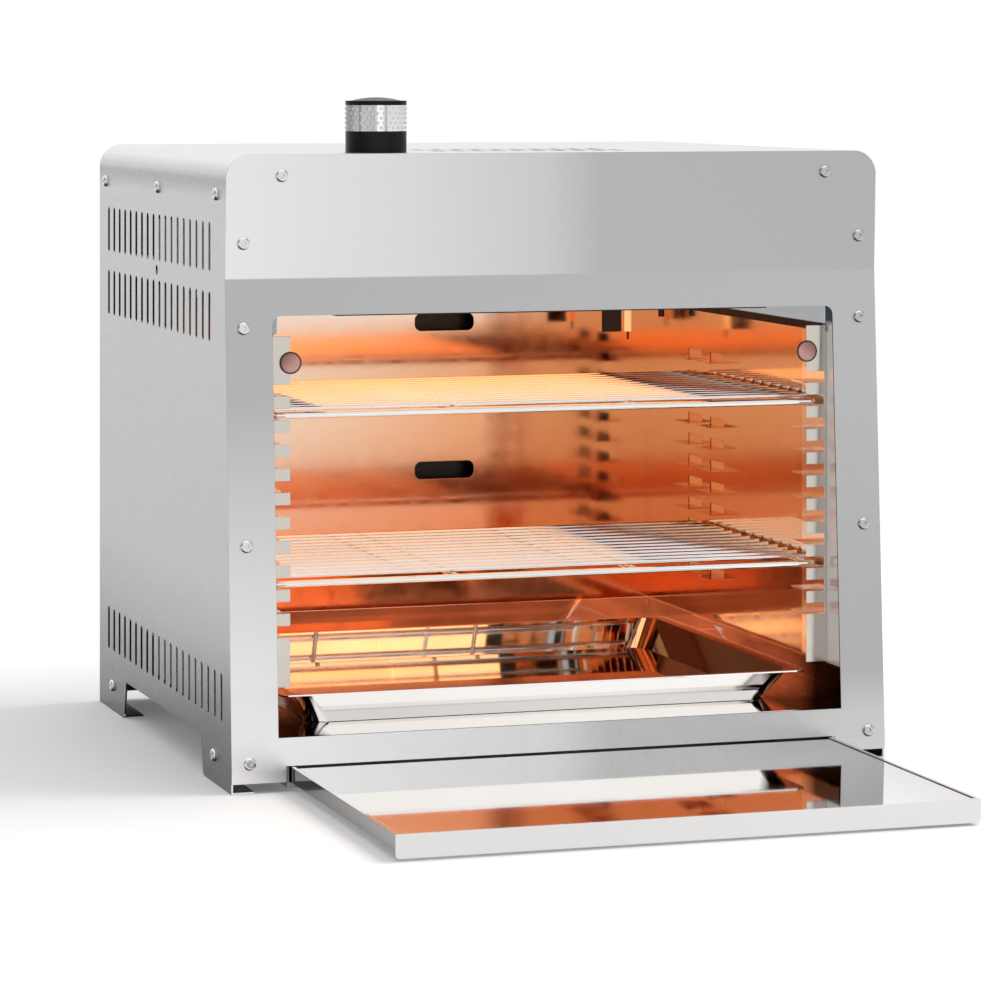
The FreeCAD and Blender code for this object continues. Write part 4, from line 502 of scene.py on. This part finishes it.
def knob_studs():
    """Rows of small round studs round the bright ring, each row turned by half a step."""
    mesh = bmesh.new()
    for row in range(STUD_ROWS):
        z = RING_BASE + (RING_TOP - RING_BASE) * (row + 0.75) / (STUD_ROWS + 0.5)
        for step in range(STUDS_AROUND):
            angle = 2 * math.pi * (step + 0.5 * (row % 2)) / STUDS_AROUND
            centre = Vector((KNOB_X + KNOB_R * math.cos(angle),
                             KNOB_Y + KNOB_R * math.sin(angle), z))
            place = (Matrix.Translation(centre) @ Matrix.Rotation(angle, 4, "Z")
                     @ Matrix.Diagonal((STUD_FLATNESS, 1, 1, 1)))
            bmesh.ops.create_icosphere(mesh, subdivisions=2, radius=STUD_R, matrix=place)
    for face in mesh.faces:
        face.smooth = True
    mesh_object("knob_studs", mesh_data("knob_studs", mesh), "knob_chrome", "knob")


def knob_spring():
    """The spring under the knob, as a piece of its own on the grill in place of the model's
    spring.
    """
    data = frame["nodes"]["valve_spring"].data.copy()
    data.materials.clear()
    spring = mesh_object("knob_spring", data, "screw_steel", "grill")
    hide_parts("valve_spring")
    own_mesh(spring)


# Floor, light and camera
def floor():
    """A pale floor that keeps the shadow and turns pure white away from the object."""
    mesh = bmesh.new()
    bmesh.ops.create_grid(mesh, x_segments=1, y_segments=1, size=FLOOR_SIZE)
    thing = in_scene("floor", mesh_data("floor", mesh))
    material = bpy.data.materials.new("floor")
    thing.data.materials.append(material)
    shader = Shader(material)
    shader.set(base=(0.95, 0.95, 0.95), roughness=0.85, specular=0.1)
    span = shader.add("ShaderNodeVectorMath", operation="LENGTH")
    shader.link(shader.add("ShaderNodeTexCoord").outputs["Object"], span.inputs[0])
    share = shader.remap(span.outputs["Value"], LEAST_WHITE, 1.0, FADE_FROM, FADE_TO)
    white = shader.add("ShaderNodeEmission")
    shader.feed(white.inputs["Color"], WHITE)
    white.inputs["Strength"].default_value = 1.0
    shader.link(shader.blend_shaders(share, shader.surface.outputs["BSDF"],
                                     white.outputs["Emission"]), shader.out.inputs["Surface"])


def key_light():
    """One broad lamp, high on the right, that throws the shadow to the left."""
    data = bpy.data.lights.new("key", "AREA")
    data.shape = "RECTANGLE"
    data.size = data.size_y = KEY_SIZE
    data.energy = KEY_POWER
    lamp = bpy.data.objects.new("key", data)
    lamp.location = KEY_AT
    lamp.rotation_mode = "QUATERNION"
    lamp.rotation_quaternion = (Vector(KEY_TOWARD) - Vector(KEY_AT)).to_track_quat("-Z", "Y")
    lamp.visible_glossy = False
    bpy.context.scene.collection.objects.link(lamp)


def world():
    """A white background, and for everything that it lights or that mirrors it a soft studio."""
    scene = bpy.context.scene
    scene.world = bpy.data.worlds.new("studio")
    nodes = Nodes(scene.world)
    x, y, z = nodes.split(nodes.add("ShaderNodeTexCoord").outputs["Generated"])
    across = nodes.tones(x, [(-0.95, 0.30), (-0.75, 0.42), (-0.45, 1.0), (0.45, 1.0),
                             (0.62, 0.40), (0.9, 0.55)], -1.0, 1.0)
    upward = nodes.tones(z, [(-0.3, 1.0), (0.45, 1.0), (0.62, 0.75), (0.8, 1.05),
                             (1.0, 1.05)], -1.0, 1.0)
    studio, white = nodes.add("ShaderNodeBackground"), nodes.add("ShaderNodeBackground")
    for background, colour in ((studio, nodes.mix(1.0, across, upward, "MULTIPLY")),
                               (white, WHITE)):
        nodes.feed(background.inputs["Color"], colour)
        background.inputs["Strength"].default_value = 1.0
    seen = nodes.add("ShaderNodeLightPath").outputs["Is Camera Ray"]
    out = nodes.add("ShaderNodeOutputWorld")
    nodes.link(nodes.blend_shaders(seen, studio.outputs["Background"],
                                   white.outputs["Background"]), out.inputs["Surface"])


def camera():
    data = bpy.data.cameras.new("camera")
    data.sensor_width = SENSOR
    data.lens = SENSOR * FOCAL_PIXELS / IMAGE
    data.shift_y = (HORIZON_ROW - IMAGE / 2) / IMAGE
    data.clip_end = 100.0
    thing = in_scene("camera", data)
    thing.location = CAMERA_AT
    thing.rotation_euler = (math.pi / 2, 0, -CAMERA_YAW)
    bpy.context.scene.camera = thing


dress_materials()
knob_studs()
knob_spring()
floor()
world()
key_light()
camera()
bpy.context.scene.view_settings.view_transform = "Standard"
